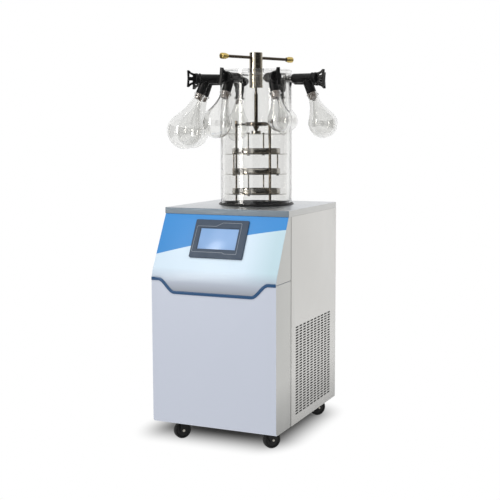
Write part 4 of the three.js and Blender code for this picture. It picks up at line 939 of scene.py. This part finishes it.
class DRYER_OT_refrigeration(bpy.types.Operator):
    """Finish the compressor, the condenser and the fan, and build the cold trap"""

    bl_idname = "dryer.refrigeration"
    bl_label = "Refrigeration"

    def execute(self, context):
        settings = cabinet_settings()
        enamel = moulded("black_enamel", linear(28, 28, 30), 0.35, 300, 0.05)
        fins = brushed("fin_aluminium", linear(186, 188, 190), 0.4, (1, 1, 0.05), 1.0)
        plastic = moulded("fan_plastic", linear(24, 24, 26), 0.5)
        for node, finish in (("compressor", enamel), ("condenser", fins), ("fan_blades", plastic)):
            dress(node, finish)
        self.cold_trap(brushed("trap_steel", settings.steel, 0.3, (1, 1, 0.04)))
        return {"FINISHED"}

    def cold_trap(self, steel):
        """A deep drawn well under the chamber, with its pipe and flange at the back."""
        inner, wall, floor = 107 * MM, 2 * MM, TOP - 165 * MM
        outer, lip, lip_top = inner + wall, 118 * MM, TOP + 2.3 * MM
        curve, steps = 14 * MM, 6
        side = []
        for radius, height, bend in ((outer, floor - wall, curve + wall), (inner, floor, curve)):
            for step in range(steps + 1):
                angle = math.radians(-90 + 90 * step / steps)
                side.append((radius - bend + bend * math.cos(angle),
                             height + bend + bend * math.sin(angle)))
        outside, inside = side[:steps + 1], side[steps + 1:]
        profile = ([(0, floor - wall)] + outside + [(outer, TOP + 0.3 * MM), (lip, TOP + 0.3 * MM),
                   (lip, lip_top), (inner + MM, lip_top), (inner, lip_top - MM)]
                   + inside[::-1] + [(0, floor)])
        well = placed(turned(profile, settings_facets()), about_axis())
        start, end = AXIS.y + inner - 2 * MM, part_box("cold_trap")[1].y
        flange = 4 * MM
        pipe = turned([(0, start), (12.5 * MM, start), (12.5 * MM, end - flange - MM),
                       (13.5 * MM, end - flange), (19.4 * MM, end - flange),
                       (20 * MM, end - flange + 0.6 * MM), (20 * MM, end - 0.6 * MM),
                       (19.4 * MM, end), (0, end)], 48)
        at = Matrix.Translation((AXIS.x, 0, PIPE_HEIGHT))
        pipe = placed(pipe, at @ ALONG_Y)
        inside_well = placed(disc(inner, floor + curve, TOP, settings_facets()), about_axis())
        bore = placed(disc(10 * MM, AXIS.y + inner / 2, end + 0.01, 40), at @ ALONG_Y)
        trap = cut(joined(well, cut(pipe, inside_well)), bore)
        # The inside of the well takes a dark copy of the steel, painted shade deep in the well.
        for face in trap.faces:
            at = face.calc_center_median()
            far = math.hypot(at.x - AXIS.x, at.y - AXIS.y)
            face.material_index = int(far < inner + 0.2 * MM and floor - MM < at.z < TOP + MM)
        well_shade = brushed("trap_well_shade", linear(58, 58, 60), 0.5, (1, 1, 0.04), 0.8)
        piece("cold_trap_well", trap, [steel.material, well_shade.material], "cabinet", "stainless",
              ["cold_trap"])


# ---- Casters ------------------------------------------------------------------------------

AXLE_PLACE = Matrix.Translation((CASTER_TRAIL, 0, WHEEL_RADIUS)) @ ALONG_Y


class DRYER_OT_casters(bpy.types.Operator):
    """Build the four swivel casters with their forks, wheels and axles"""

    bl_idname = "dryer.casters"
    bl_label = "Casters"

    def execute(self, context):
        plastic = moulded("caster_black", linear(12, 12, 13), 0.45, 500, 0.1, 0.25)
        rubber = moulded("wheel_black", linear(15, 15, 16), 0.5, 700, 0.1, 0.3)
        zinc = Finish("axle_zinc", linear(186, 182, 172), 0.28, 1.0)
        zinc.mottle(zinc.noise(300), 0.7)
        zinc.bump(zinc.noise(600), 0.1, 0.0002)
        for number in range(1, 5):
            stem = Vector(JOINTS[f"caster_swivel_{number}"]["pos_m"])
            axle = Vector(JOINTS[f"wheel_spin_{number}"]["pos_m"])
            heading = math.atan2(axle.y - stem.y, axle.x - stem.x)
            place = Matrix.Translation((stem.x, stem.y, 0)) @ Matrix.Rotation(heading, 4, "Z")
            piece(f"fork_{number}", placed(self.fork(), place), plastic.material,
                  f"caster_{number}", "caster_plastic", [f"caster_fork_{number}"])
            piece(f"axle_{number}", placed(self.axle(), place), zinc.material,
                  f"caster_{number}", "caster_plastic")
            piece(f"wheel_{number}", placed(self.wheel(), place), rubber.material,
                  f"wheel_{number}", "wheel_rubber", [f"caster_wheel_{number}"])
        return {"FINISHED"}

    def fork(self):
        top = PANEL_LOW.z - 0.3 * MM
        crown, half, plate = top - 12 * MM, 12 * MM, 3 * MM
        axle, trail, heel, eye = WHEEL_RADIUS, CASTER_TRAIL, -11.4 * MM, 12 * MM
        outline = [(heel, crown), (heel, crown - 9 * MM)]
        for step in range(13):
            angle = math.radians(200 + 160 * step / 12)
            outline.append((trail + eye * math.cos(angle), axle + eye * math.sin(angle)))
        outline += [(trail + eye, crown - 14 * MM), (trail + 9 * MM, crown)]
        legs = []
        for side in (-1, 1):
            leg = prism(outline, plate, Matrix.Translation(
                (0, side * (half + plate / 2) + plate / 2, 0)) @ FACING_FRONT)
            soften(leg, 0.8 * MM, 3)
            legs.append(leg)
        bridge = block(heel, trail + 9 * MM, -half - plate, half + plate, crown - plate, crown)
        soften(bridge, 0.9 * MM, 3)
        stem = turned([(0, crown), (19 * MM, crown), (19 * MM, crown + 3 * MM),
                       (17.5 * MM, crown + 5 * MM), (17.5 * MM, top - 2 * MM), (16.5 * MM, top),
                       (6 * MM, top), (6 * MM, top + 14 * MM), (0, top + 14 * MM)], 40)
        return merged(bridge, stem, *legs)

    def axle(self):
        bolt = turned(mm([(0, -18), (3.4, -17.6), (4.6, -16), (4.6, -15), (4.2, -15), (4.2, 15),
                          (5, 15), (5, 17), (3.6, 18), (0, 18)]), 24)
        return placed(bolt, AXLE_PLACE)

    def wheel(self):
        """A solid tyre with a soft tread, and a hub dished between its rim and its boss."""
        section = [(5.3, -11), (10, -11), (10.8, -10.2), (12, -7.7), (22.6, -7.7), (23.8, -9.4),
                   (26.5, -10.9), (28.6, -10.5), (30.4, -8.8), (31.2, -6.4), (31.4, -3)]
        section += [(radius, -height) for radius, height in reversed(section)]
        return placed(turned(mm(section), 64, closed=True), AXLE_PLACE)


# ---- Chamber and rack ---------------------------------------------------------------------


def port_place(number):
    """Start of an arm on the chamber's wall, with the arm running along X."""
    out, twist, _ = PORTS[number - 1]
    turn = 360 * (number - 1) / len(PORTS)
    return (about_axis(PORT_HEIGHT, turn) @ Matrix.Translation((CHAMBER_RADIUS + out, 0, 0))
            @ Matrix.Rotation(math.radians(twist), 4, "X"))


class DRYER_OT_chamber(bpy.types.Operator):
    """Build the clear chamber with its lid and sockets, and the seal it stands on"""

    bl_idname = "dryer.chamber"
    bl_label = "Chamber"

    def execute(self, context):
        settings = chamber_settings()
        bottom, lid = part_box("chamber")[0].z, LID_TOP - LID_THICKNESS
        inner, hole = CHAMBER_RADIUS - CHAMBER_WALL, 25.5 * MM
        socket, bore, overhang = 12.5 * MM, 9.4 * MM, 7.5 * MM
        bell = turned([(inner, bottom), (CHAMBER_RADIUS, bottom), (CHAMBER_RADIUS, LID_TOP),
                       (hole, LID_TOP), (hole, lid), (inner, lid)], settings.facets, closed=True)
        placed(soften(bell, 1.2 * MM, 3), about_axis())
        sockets, bores = [], []
        for number, (out, _, _) in enumerate(PORTS):
            end = CHAMBER_RADIUS + max(out - 0.5 * MM, 0.5 * MM)
            along = about_axis(PORT_HEIGHT, 360 * number / len(PORTS)) @ ALONG_X
            sockets.append(placed(disc(socket, inner + 2 * MM, end, 48), along))
            bores.append(placed(disc(bore, inner - 8 * MM, end + MM, 32), along))
        bell = cut(joined(bell, merged(*sockets)), merged(*bores))
        acrylic = clear("chamber_acrylic", settings.acrylic, 1.16, 1.0, 0.02)
        made = piece("drying_chamber", bell, acrylic.material, "cabinet", "acrylic", ["chamber"])
        made.visible_shadow = False
        low, high = SEAL_LOW.z, SEAL_LOW.z + 6 * MM
        outer = CHAMBER_RADIUS + overhang
        ring = [(121.4 * MM, low), (outer - 2 * MM, low), (outer, low + 1.2 * MM),
                (outer, low + 2.2 * MM), (outer - 4 * MM, low + 4.6 * MM),
                (CHAMBER_RADIUS + 3 * MM, high), (inner - 0.3 * MM, high),
                (inner - 0.3 * MM, SEAL_HIGH.z - 1.2 * MM), (inner - 1.2 * MM, SEAL_HIGH.z),
                (inner - 2.6 * MM, SEAL_HIGH.z), (121.2 * MM, SEAL_HIGH.z - 0.8 * MM)]
        seal = placed(turned(ring, settings.facets, closed=True), about_axis())
        rubber = moulded("seal_black", settings.rubber, 0.42, 600, 0.1, 0.3)
        piece("chamber_seal", seal, rubber.material, "cabinet", "seal_rubber", ["seal_ring"],
              sharp=50)
        return {"FINISHED"}


def shelf_height(number):
    """Underside of a shelf. The press plate counts as number 0."""
    return SPIDER_TOP - (45 + 73 * number) * MM


def drilled(mesh, bottom, top, places):
    """Holes through a disc, each at an angle on the post circle with its own radius."""
    drills = merged(*[placed(disc(radius, bottom - MM, top + MM, 24), on_circle(POST_CIRCLE, angle))
                      for angle, radius in places])
    return cut(mesh, drills)


def sheet_disc(z, hangers):
    """A shelf's round sheet with a softened rim and the holes for posts and hang rods."""
    edge, thick = 0.8 * MM, 2 * MM
    sheet = turned([(0, z), (SHELF_RADIUS - edge, z), (SHELF_RADIUS, z + edge),
                    (SHELF_RADIUS, z + thick - edge), (SHELF_RADIUS - edge, z + thick),
                    (0, z + thick)], settings_facets())
    places = [(angle, 4.5 * MM) for angle in POST_ANGLES] + [
        (angle, 3 * MM) for angle in hangers]
    return drilled(sheet, z, z + thick, places)


def hexagon(radius, bottom, top):
    nut = disc(radius, bottom, top, 6)
    return soften(nut, 0.8 * MM, 2)


class DRYER_OT_rack(bpy.types.Operator):
    """Build the standing rack, the press plate and the three hanging shelves"""

    bl_idname = "dryer.rack"
    bl_label = "Rack and Shelves"

    def execute(self, context):
        settings = chamber_settings()
        # The posts, hub and rods take the darker steel, painted shade.
        steel = brushed("rack_steel", settings.post_shaded_steel, 0.14, (1, 1, 0.05))
        sheet = Finish("shelf_steel", settings.rack_steel, 0.2, 1.0)
        sheet.mottle(sheet.noise(9), 0.8)
        sheet.rub(sheet.noise(20), 0.08, 0.2)
        sheet.bump(sheet.noise(240), 0.03, 0.0003)
        ring_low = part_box("rack_frame")[0].z
        ring = turned([(96 * MM, ring_low), (116 * MM, ring_low),
                       (116 * MM, ring_low + 14 * MM), (96 * MM, ring_low + 14 * MM)],
                      settings.facets, closed=True)
        soften(ring, 1.5 * MM, 3)
        low, high = SPIDER_TOP - 14 * MM, SPIDER_TOP
        hub = turned([(7 * MM, low), (40 * MM, low), (40 * MM, high), (7 * MM, high)],
                     settings.facets, closed=True)
        parts = [ring, soften(hub, 1.2 * MM, 3)]
        for angle in POST_ANGLES:
            at = on_circle(POST_CIRCLE, angle)
            parts.append(placed(disc(3.5 * MM, ring_low + 7 * MM, high + 7 * MM, 24), at))
            parts.append(placed(hexagon(6 * MM, low - 0.01 * MM, high + 5 * MM), at))
            parts.append(placed(turned([(0, high + 5 * MM), (4.8 * MM, high + 5 * MM),
                                        (4.6 * MM, high + 7 * MM), (3 * MM, high + 8 * MM),
                                        (0, high + 8 * MM)], 24), at))
            arm = block(20 * MM, POST_CIRCLE, -6 * MM, 6 * MM, low + 3.5 * MM, high - 3.5 * MM)
            soften(arm, MM, 2)
            parts.append(placed(arm, Matrix.Rotation(math.radians(angle), 4, "Z")))
        stand = placed(merged(*parts), about_axis())
        for face in stand.faces:
            face.material_index = int(face.calc_center_median().z < ring_low + 14.1 * MM)
        foot = brushed("rack_foot", linear(44, 42, 40), 0.16, (1, 1, 1), 0.7)
        piece("rack_stand", stand, [steel.material, foot.material], "cabinet",
              "polished_steel", ["rack_frame"])
        z, top = shelf_height(0), shelf_height(0) + 2 * MM
        cup = turned([(11.8 * MM, top - 0.1 * MM), (18 * MM, top - 0.1 * MM),
                      (18 * MM, top + 11 * MM), (17 * MM, top + 12 * MM), (5.5 * MM, top + 12 * MM),
                      (5.5 * MM, top + 9 * MM), (11.8 * MM, top + 9 * MM)], 48, closed=True)
        plate = merged(sheet_disc(z, HANGER_ANGLES), cup)
        piece("pressing_plate", placed(plate, about_axis()), sheet.material, "shelf_stack",
              "polished_steel", ["press_plate"])
        for number in (1, 2, 3):
            shelf = self.shelf(number)
            piece(f"hanging_shelf_{number}", placed(shelf, about_axis()),
                  [sheet.material, steel.material], "shelf_stack", "polished_steel",
                  [f"shelf_{number}"])
        return {"FINISHED"}

    def shelf(self, number):
        """A sheet with the two rods it hangs by. Their heads rest on the sheet above."""
        z = shelf_height(number)
        own = HANGER_ANGLES_MIDDLE if number == 2 else HANGER_ANGLES
        below = () if number == 3 else HANGER_ANGLES_MIDDLE if number == 1 else HANGER_ANGLES
        head = shelf_height(number - 1) + 2.3 * MM
        parts = [sheet_disc(z, below)]
        for angle in own:
            rod = turned([(0, z - 4 * MM), (4.4 * MM, z - 4 * MM), (5 * MM, z - 3.4 * MM),
                          (5 * MM, z), (2.5 * MM, z), (2.5 * MM, head), (5 * MM, head),
                          (5 * MM, head + 3 * MM), (4.2 * MM, head + 4 * MM), (0, head + 4 * MM)],
                         24)
            for face in rod.faces:
                face.material_index = 1
            parts.append(placed(rod, on_circle(POST_CIRCLE, angle)))
        return merged(*parts)


class DRYER_OT_trays(bpy.types.Operator):
    """Build the three polished sample trays"""

    bl_idname = "dryer.trays"
    bl_label = "Trays"

    def execute(self, context):
        steel = Finish("tray_steel", chamber_settings().rack_steel, 0.16, 1.0)
        steel.mottle(steel.noise(14, (1, 1, 0.2)), 0.75)
        steel.rub(steel.noise(26, (1, 1, 0.1)), 0.1, 0.24)
        steel.bump(steel.noise(300, (1, 1, 0.1)), 0.03, 0.0003)
        for number in (1, 2, 3):
            z = shelf_height(number) + 2.3 * MM
            r, wall, top = 90 * MM, 1.5 * MM, z + 21 * MM
            outside = [(0, z), (r - 5 * MM, z)] + self.corner(r, z, 5 * MM)
            rim = [(r - 0.1 * MM, top - 2.2 * MM), (r, top - 2 * MM), (r, top - 0.5 * MM),
                   (r - 0.5 * MM, top), (r - wall, top), (r - wall - 0.4 * MM, top - 0.5 * MM)]
            inside = self.corner(r - wall, z + wall, 3.5 * MM)[::-1] + [
                (r - 5 * MM, z + wall), (0, z + wall)]
            tray = placed(turned(outside + rim + inside, settings_facets()), about_axis())
            piece(f"sample_tray_{number}", tray, steel.material, "shelf_stack", "polished_steel",
                  [f"tray_{number}"])
        return {"FINISHED"}

    def corner(self, radius, bottom, bend):
        return [(radius - bend + bend * math.cos(angle), bottom + bend + bend * math.sin(angle))
                for angle in (math.radians(-75 + 15 * step) for step in range(6))]


# ---- Handle, valves and flasks ------------------------------------------------------------


class DRYER_OT_handle(bpy.types.Operator):
    """Build the press screw with its hub, cross bar and brass end caps"""

    bl_idname = "dryer.handle"
    bl_label = "Handle"

    def execute(self, context):
        settings = chamber_settings()
        place = Matrix.Translation((AXIS.x, AXIS.y, 0)) @ Matrix.Rotation(HANDLE_TURN, 4, "Z")
        button, low = shelf_height(0) + 2.3 * MM, LID_TOP - 63 * MM
        cone, high = SPIDER_TOP - 15 * MM, LID_TOP + 65 * MM
        neck, r = 4.5 * MM, 24.5 * MM
        steel = brushed("screw_bright", settings.handle_steel, 0.12, (0.1, 0.1, 1), strength=0.03)
        rod = turned([(0, button), (10.4 * MM, button), (11 * MM, button + 0.6 * MM),
                      (11 * MM, button + 4 * MM), (neck, button + 4 * MM),
                      (neck, shelf_height(0) + 15 * MM), (12 * MM, cone), (6.5 * MM, cone),
                      (6.5 * MM, low - 20 * MM), (neck, low - 20 * MM), (neck, low),
                      (r - MM, low), (r, low + MM), (r, low + 11.6 * MM),
                      (r - 2 * MM, low + 12 * MM), (r - 2 * MM, low + 14 * MM),
                      (r, low + 14.4 * MM), (r, high - 1.5 * MM), (r - 1.5 * MM, high),
                      (0, high)], 96)
        bar_height, slide, half = high - 19 * MM, 8 * MM, 161 * MM
        at = Matrix.Translation((slide, 0, bar_height)) @ ALONG_X
        bar = placed(disc(5.5 * MM, -half, half, 48), at)
        # The bar and the screw below the lid take the darker steel, painted shade.
        dark = brushed("screw_shaded", settings.bar_shaded_steel, 0.16, (0.1, 0.1, 1), strength=0.03)
        for face in rod.faces:
            face.material_index = int(face.calc_center_median().z < low)
        for face in bar.faces:
            face.material_index = 1
        piece("press_screw", placed(merged(rod, bar), place), [steel.material, dark.material],
              "handle", "polished_steel", ["t_handle"])
        brass = brushed("cap_brass", settings.brass, 0.25, (1, 1, 1))
        for name, side in (("left", -1), ("right", 1)):
            cap = turned(mm([(0, 0.4), (5.8, 0.3), (5.8, -15), (7.8, -15), (11, -3), (11, 12.2),
                             (10.2, 14.2), (8.4, 15), (0, 15)]), 48)
            cap = placed(cap, Matrix.Translation((half, 0, 0)) @ ALONG_X)
            flip = Matrix.Rotation(math.pi if side < 0 else 0, 4, "Z")
            whole = place @ Matrix.Translation((slide, 0, bar_height)) @ flip
            piece(f"brass_cap_{name}", placed(cap, whole), brass.material, "handle", "brass",
                  [f"handle_cap_{name}"])
        return {"FINISHED"}


def branch_place(number):
    """Mouth of a flask, with the branch's axis along Z."""
    return (port_place(number) @ Matrix.Translation((BRANCH_REACH, 0, 0))
            @ Matrix.Rotation(-BRANCH_TILT, 4, "Y"))


class DRYER_OT_valves(bpy.types.Operator):
    """Build the eight rubber valves with their turning knobs"""

    bl_idname = "dryer.valves"
    bl_label = "Valves"

    def execute(self, context):
        settings = chamber_settings()
        rubber = moulded("valve_black", settings.rubber, 0.4, 700, 0.1, 0.2)
        grip = moulded("knob_black", settings.rubber, 0.36, 500, 0.1, 0.2)
        plug = moulded("plug_silicone", linear(92, 84, 78), 0.45, 500, 0.05)
        for number in range(1, len(PORTS) + 1):
            arm = placed(self.arm(), port_place(number) @ ALONG_X)
            branch = placed(self.branch(), branch_place(number))
            body = joined(arm, branch)
            mouth = branch_place(number).inverted()
            for face in body.faces:
                face.material_index = int((mouth @ face.calc_center_median()).z < -58 * MM)
            piece(f"valve_{number}", body, [rubber.material, plug.material], "cabinet",
                  "valve_rubber", [f"valve_body_{number}"], sharp=50)
            piece(f"knob_grip_{number}", placed(self.knob(), port_place(number)), grip.material,
                  f"knob_{number}", "valve_rubber", [f"valve_knob_{number}"], sharp=50)
        return {"FINISHED"}

    def arm(self):
        """The arm with its spigot, two raised rings and the hollow its knob turns in."""
        section = [(6, -25), (8.4, -25), (9, -24.4), (9, 0), (12, 0.6), (14.6, 2.4), (16.3, 5.2),
                   (17, 8.5), (17, 76), (17.8, 77.2), (19.2, 77.8), (19.8, 79.4), (19.8, 81.4),
                   (19.2, 82.8), (17.6, 83.4), (17.2, 84.4), (17.2, 87), (17.8, 88), (19.4, 88.4),
                   (20, 89.6), (20, 96.2), (19.2, 97.6), (17.4, 98), (9.5, 98), (9.5, 81.5),
                   (6, 81.5)]
        return turned(mm(section), 48, closed=True)

    def branch(self):
        """The branch that a flask hangs from, with the plug inside its neck."""
        section = [(6, -80), (12.4, -80), (13, -79.2), (14.2, -60), (14.5, -57.7),
                   (16, -57.7), (16.5, -57.2), (16.5, -8), (15.5, 0), (6, 0)]
        return turned(mm(section), 48, closed=True)

    def knob(self):
        """A cross grip with an open triangle on each side of its stem."""
        half = [(127, 30, 1.6), (121, 30, 1.6), (113, 22.5, 3), (99, 18, 1.5)]
        outline = [(125, 0, 30)] + half + [(x, -z, bend) for x, z, bend in reversed(half)]
        across = Matrix.Translation((0, 5.5 * MM, 0)) @ FACING_FRONT
        grip = prism(rounded(mm(outline), MM), 11 * MM, across)
        windows = []
        for side in (-1, 1):
            corners = mm([(106, side * 6.5), (119.5, side * 6.5), (119.5, side * 21),
                          (114, side * 15), (106, side * 12)])
            wide = Matrix.Translation((0, 10 * MM, 0)) @ FACING_FRONT
            windows.append(prism(rounded(corners, 1.2 * MM, 3), 20 * MM, wide))
        grip = cut(grip, merged(*windows))
        soften(grip, 0.9 * MM, 2, angle=50)
        stem = placed(turned(mm([(0, 82), (8.4, 82), (9, 82.6), (9, 100), (0, 100)]), 40),
                      ALONG_X)
        return merged(grip, stem)


class DRYER_OT_flasks(bpy.types.Operator):
    """Build the eight blown glass flasks in their three sizes"""

    bl_idname = "dryer.flasks"
    bl_label = "Flasks"

    def execute(self, context):
        glass = clear("flask_glass", chamber_settings().glass, 1.42, 0.6, 0.008)
        for number, (_, _, bulb) in enumerate(PORTS, 1):
            place = branch_place(number) @ Matrix.Translation((0, 0, -BRANCH_LENGTH))
            flat = FLATNESS if number in FLAT_FLASKS else 1.0
            flask = placed(self.flask(*bulb), place @ Matrix.Diagonal((flat, 1, 1, 1)))
            made = piece(f"sample_flask_{number}", flask, glass.material, "cabinet",
                         "flask_glass", [f"flask_{number}"], sharp=70)
            made.visible_shadow = False
        return {"FINISHED"}

    def side(self, radius, drop, wall):
        """One side of the glass from the end of its neck to the bottom of its bulb."""
        shoulder, sag, neck_steps, bulb_steps = math.radians(36), 0.12, 20, 44
        neck, bulb, low = 18 * MM - wall, radius - wall, 24 * MM
        out = bulb * math.cos(shoulder) - neck
        down = -drop + bulb * math.sin(shoulder) + low
        points = []
        for step in range(neck_steps):
            share = step / neck_steps
            drawn = sag * math.sin(math.pi * share)
            points.append((neck + out * (share - drawn), -low + down * share))
        for step in range(bulb_steps):
            angle = shoulder - (shoulder + math.pi / 2) * step / bulb_steps
            points.append((bulb * math.cos(angle), -drop + bulb * math.sin(angle)))
        return points + [(0, -drop - bulb)]

    def flask(self, radius, drop):
        outside = self.side(radius, drop, 0.0)[::-1]
        inside = self.side(radius, drop, 2.4 * MM)
        lip = mm([(18, -8), (18.6, -7.2), (20.4, -6.8), (21, -6), (21, -1.2), (20, 0), (16, 0),
                  (15.5, -0.6)])
        return turned(outside + lip + inside, 72)


# ---- Stage --------------------------------------------------------------------------------


def bare_material(name):
    """A material whose node tree is still empty."""
    material = bpy.data.materials.new(name)
    material.use_nodes = True
    material.node_tree.nodes.clear()
    return material


class DRYER_OT_stage(bpy.types.Operator):
    """Set the white backdrop, the floor, the lights and the camera"""

    bl_idname = "dryer.stage"
    bl_label = "Stage"

    def execute(self, context):
        settings = context.scene.freeze_dryer_stage
        middle = Vector((MIDDLE_X, (PLATE_LOW.y + PLATE_HIGH.y) / 2, 0))
        self.world(settings)
        self.floor(middle)
        self.lights(settings, middle)
        self.cards(middle)
        self.camera(settings, middle)
        return {"FINISHED"}

    def world(self, settings):
        """White to the camera and in reflections, a softer even light elsewhere."""
        world = bpy.data.worlds.new("studio")
        world.use_nodes = True
        bpy.context.scene.world = world
        tree = world.node_tree
        background = tree.nodes["Background"]
        background.inputs["Color"].default_value = (1, 1, 1, 1)
        path = tree.nodes.new("ShaderNodeLightPath")
        total = path.outputs["Is Camera Ray"]
        for kind in ("Is Glossy Ray", "Is Transmission Ray"):
            either = tree.nodes.new("ShaderNodeMath")
            either.operation = "MAXIMUM"
            tree.links.new(total, either.inputs[0])
            tree.links.new(path.outputs[kind], either.inputs[1])
            total = either.outputs["Value"]
        strength = tree.nodes.new("ShaderNodeMapRange")
        strength.inputs["To Min"].default_value = settings.ambient
        strength.inputs["To Max"].default_value = 1.0
        tree.links.new(total, strength.inputs["Value"])
        tree.links.new(strength.outputs["Result"], background.inputs["Strength"])

    def floor(self, middle):
        """A floor that keeps the shadow near the machine, darkened there by a painted shadow, and
        is plain white beyond it.
        """
        mesh = bmesh.new()
        bmesh.ops.create_grid(mesh, x_segments=1, y_segments=1, size=FLOOR_HALF,
                              matrix=Matrix.Translation(middle))
        floor = linked("floor", mesh)
        material = bare_material("floor_white")
        tree = material.node_tree
        # The way from the shaded patch, as a share of the width over which the shade fades.
        patch = middle + Vector(PATCH_SHIFT)
        away = tree.nodes.new("ShaderNodeTexCoord").outputs["Object"]
        for operation, value in (("SUBTRACT", patch), ("ABSOLUTE", None),
                                 ("SUBTRACT", PATCH_HALF), ("MAXIMUM", (0, 0, 0)),
                                 ("DIVIDE", PATCH_FADE), ("LENGTH", None)):
            step = tree.nodes.new("ShaderNodeVectorMath")
            step.operation = operation
            tree.links.new(away, step.inputs[0])
            if value is not None:
                step.inputs[1].default_value = value
            away = step.outputs["Value" if operation == "LENGTH" else "Vector"]
        fade = tree.nodes.new("ShaderNodeMapRange")
        fade.interpolation_type = "SMOOTHSTEP"
        tree.links.new(away, fade.inputs["Value"])
        diffuse = tree.nodes.new("ShaderNodeBsdfDiffuse")
        # Painted shadow: near the machine the floor is dark grey, under the lamps' own shadow.
        diffuse.inputs["Color"].default_value = (0.22, 0.22, 0.22, 1)
        emission = tree.nodes.new("ShaderNodeEmission")
        blend = tree.nodes.new("ShaderNodeMixShader")
        output = tree.nodes.new("ShaderNodeOutputMaterial")
        tree.links.new(fade.outputs["Result"], blend.inputs["Fac"])
        tree.links.new(diffuse.outputs["BSDF"], blend.inputs[1])
        tree.links.new(emission.outputs["Emission"], blend.inputs[2])
        tree.links.new(blend.outputs["Shader"], output.inputs["Surface"])
        floor.data.materials.append(material)

    def lamp(self, name, at, target, power, width, height, glossy=False):
        light = bpy.data.lights.new(name, "AREA")
        light.shape = "RECTANGLE"
        light.size, light.size_y = width, height
        light.energy = power
        lamp = bpy.data.objects.new(name, light)
        lamp.location = at
        lamp.rotation_euler = (target - at).to_track_quat("-Z", "Y").to_euler()
        lamp.visible_glossy = glossy
        lamp.visible_camera = False
        lamp.visible_transmission = False
        bpy.context.scene.collection.objects.link(lamp)

    def lights(self, settings, middle):
        target = middle + Vector((0, 0, 0.7))
        self.lamp("key", middle + Vector((-0.6, -1.6, 3.0)), target, settings.key_power, 2.4, 2.4)
        self.lamp("side", middle + Vector((2.4, 0.2, 1.6)), target, settings.side_power, 1.8, 2.2)

    def card(self, name, middle, start, stop, low, high, light, distance=2.4):
        """An upright curved card that only reflections see, round part of the machine."""
        mesh = bmesh.new()
        steps = max(2, round(abs(stop - start) / 6))
        columns = []
        for step in range(steps + 1):
            angle = math.radians(start + (stop - start) * step / steps)
            at = middle + Vector((math.cos(angle), math.sin(angle), 0)) * distance
            columns.append([mesh.verts.new(at + Vector((0, 0, z))) for z in (low, high)])
        for (a, b), (c, d) in zip(columns, columns[1:]):
            mesh.faces.new((a, c, d, b))
        card = linked(name, mesh)
        material = bare_material(name)
        tree = material.node_tree
        emission = tree.nodes.new("ShaderNodeEmission")
        emission.inputs["Color"].default_value = (light, light * 0.97, light * 0.92, 1)
        output = tree.nodes.new("ShaderNodeOutputMaterial")
        tree.links.new(emission.outputs["Emission"], output.inputs["Surface"])
        card.data.materials.append(material)
        card.visible_camera = False
        card.visible_diffuse = False
        card.visible_shadow = False

    def cards(self, middle):
        """Cards whose reflections shape the metal, acrylic and glass, placed by their turn
        from the line to the camera."""
        view = -90 + CAMERA_DEGREES
        for name, start, stop, low, high, light in (
                ("dark_front", -12, 72, 0.1, 2.0, 0.03),
                ("dim_right", 72, 115, 0.1, 2.0, 0.2),
                ("dark_left", -120, -62, 0.1, 2.0, 0.05),
                ("dim_between", -46, -38, 0.1, 2.0, 0.3),
                ("strip", -57.5, -46, 0.68, 2.4, 12.0)):
            self.card(name, middle, view + start, view + stop, low, high, light)

    def camera(self, settings, middle):
        data = bpy.data.cameras.new("view")
        data.lens, data.sensor_width = settings.lens, 36
        camera = bpy.data.objects.new("view", data)
        at = middle + Vector((1.528332, -3.428115, 1.110742))
        target = middle + Vector((-0.011864, -0.005339, 0.669427))
        camera.location = at
        aim = (target - at).to_track_quat("-Z", "Y").to_matrix()
        roll = Matrix.Rotation(CAMERA_ROLL, 3, "Z")
        camera.rotation_euler = (aim @ roll).to_euler()
        bpy.context.scene.collection.objects.link(camera)
        bpy.context.scene.camera = camera


# ---- Panel and registration ---------------------------------------------------------------

STEPS = (
    DRYER_OT_work_top, DRYER_OT_front_covers, DRYER_OT_display, DRYER_OT_side_panels,
    DRYER_OT_back_and_base, DRYER_OT_refrigeration, DRYER_OT_casters, DRYER_OT_chamber,
    DRYER_OT_rack, DRYER_OT_trays, DRYER_OT_handle, DRYER_OT_valves, DRYER_OT_flasks,
    DRYER_OT_stage,
)
SETTINGS = (
    ("freeze_dryer_cabinet", CabinetSettings),
    ("freeze_dryer_chamber", ChamberSettings),
    ("freeze_dryer_stage", StageSettings),
)


class DRYER_PT_sidebar(bpy.types.Panel):
    """Lists every step and its settings"""

    bl_idname = "DRYER_PT_sidebar"
    bl_label = "Freeze Dryer"
    bl_space_type = "VIEW_3D"
    bl_region_type = "UI"
    bl_category = "Freeze Dryer"

    def draw(self, context):
        for step in STEPS:
            self.layout.operator(step.bl_idname)
        for name, group in SETTINGS:
            box = self.layout.box()
            for key in group.__annotations__:
                box.prop(getattr(context.scene, name), key)


def register():
    for name, group in SETTINGS:
        bpy.utils.register_class(group)
        setattr(bpy.types.Scene, name, PointerProperty(type=group))
    for step in (*STEPS, DRYER_PT_sidebar):
        bpy.utils.register_class(step)


def unregister():
    for step in (DRYER_PT_sidebar, *reversed(STEPS)):
        bpy.utils.unregister_class(step)
    for name, group in reversed(SETTINGS):
        delattr(bpy.types.Scene, name)
        bpy.utils.unregister_class(group)


def main():
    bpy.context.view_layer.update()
    register()
    bpy.context.scene.view_settings.view_transform = "Standard"
    for step in STEPS:
        family, name = step.bl_idname.split(".")
        getattr(getattr(bpy.ops, family), name)()


if __name__ == "__main__":
    main()
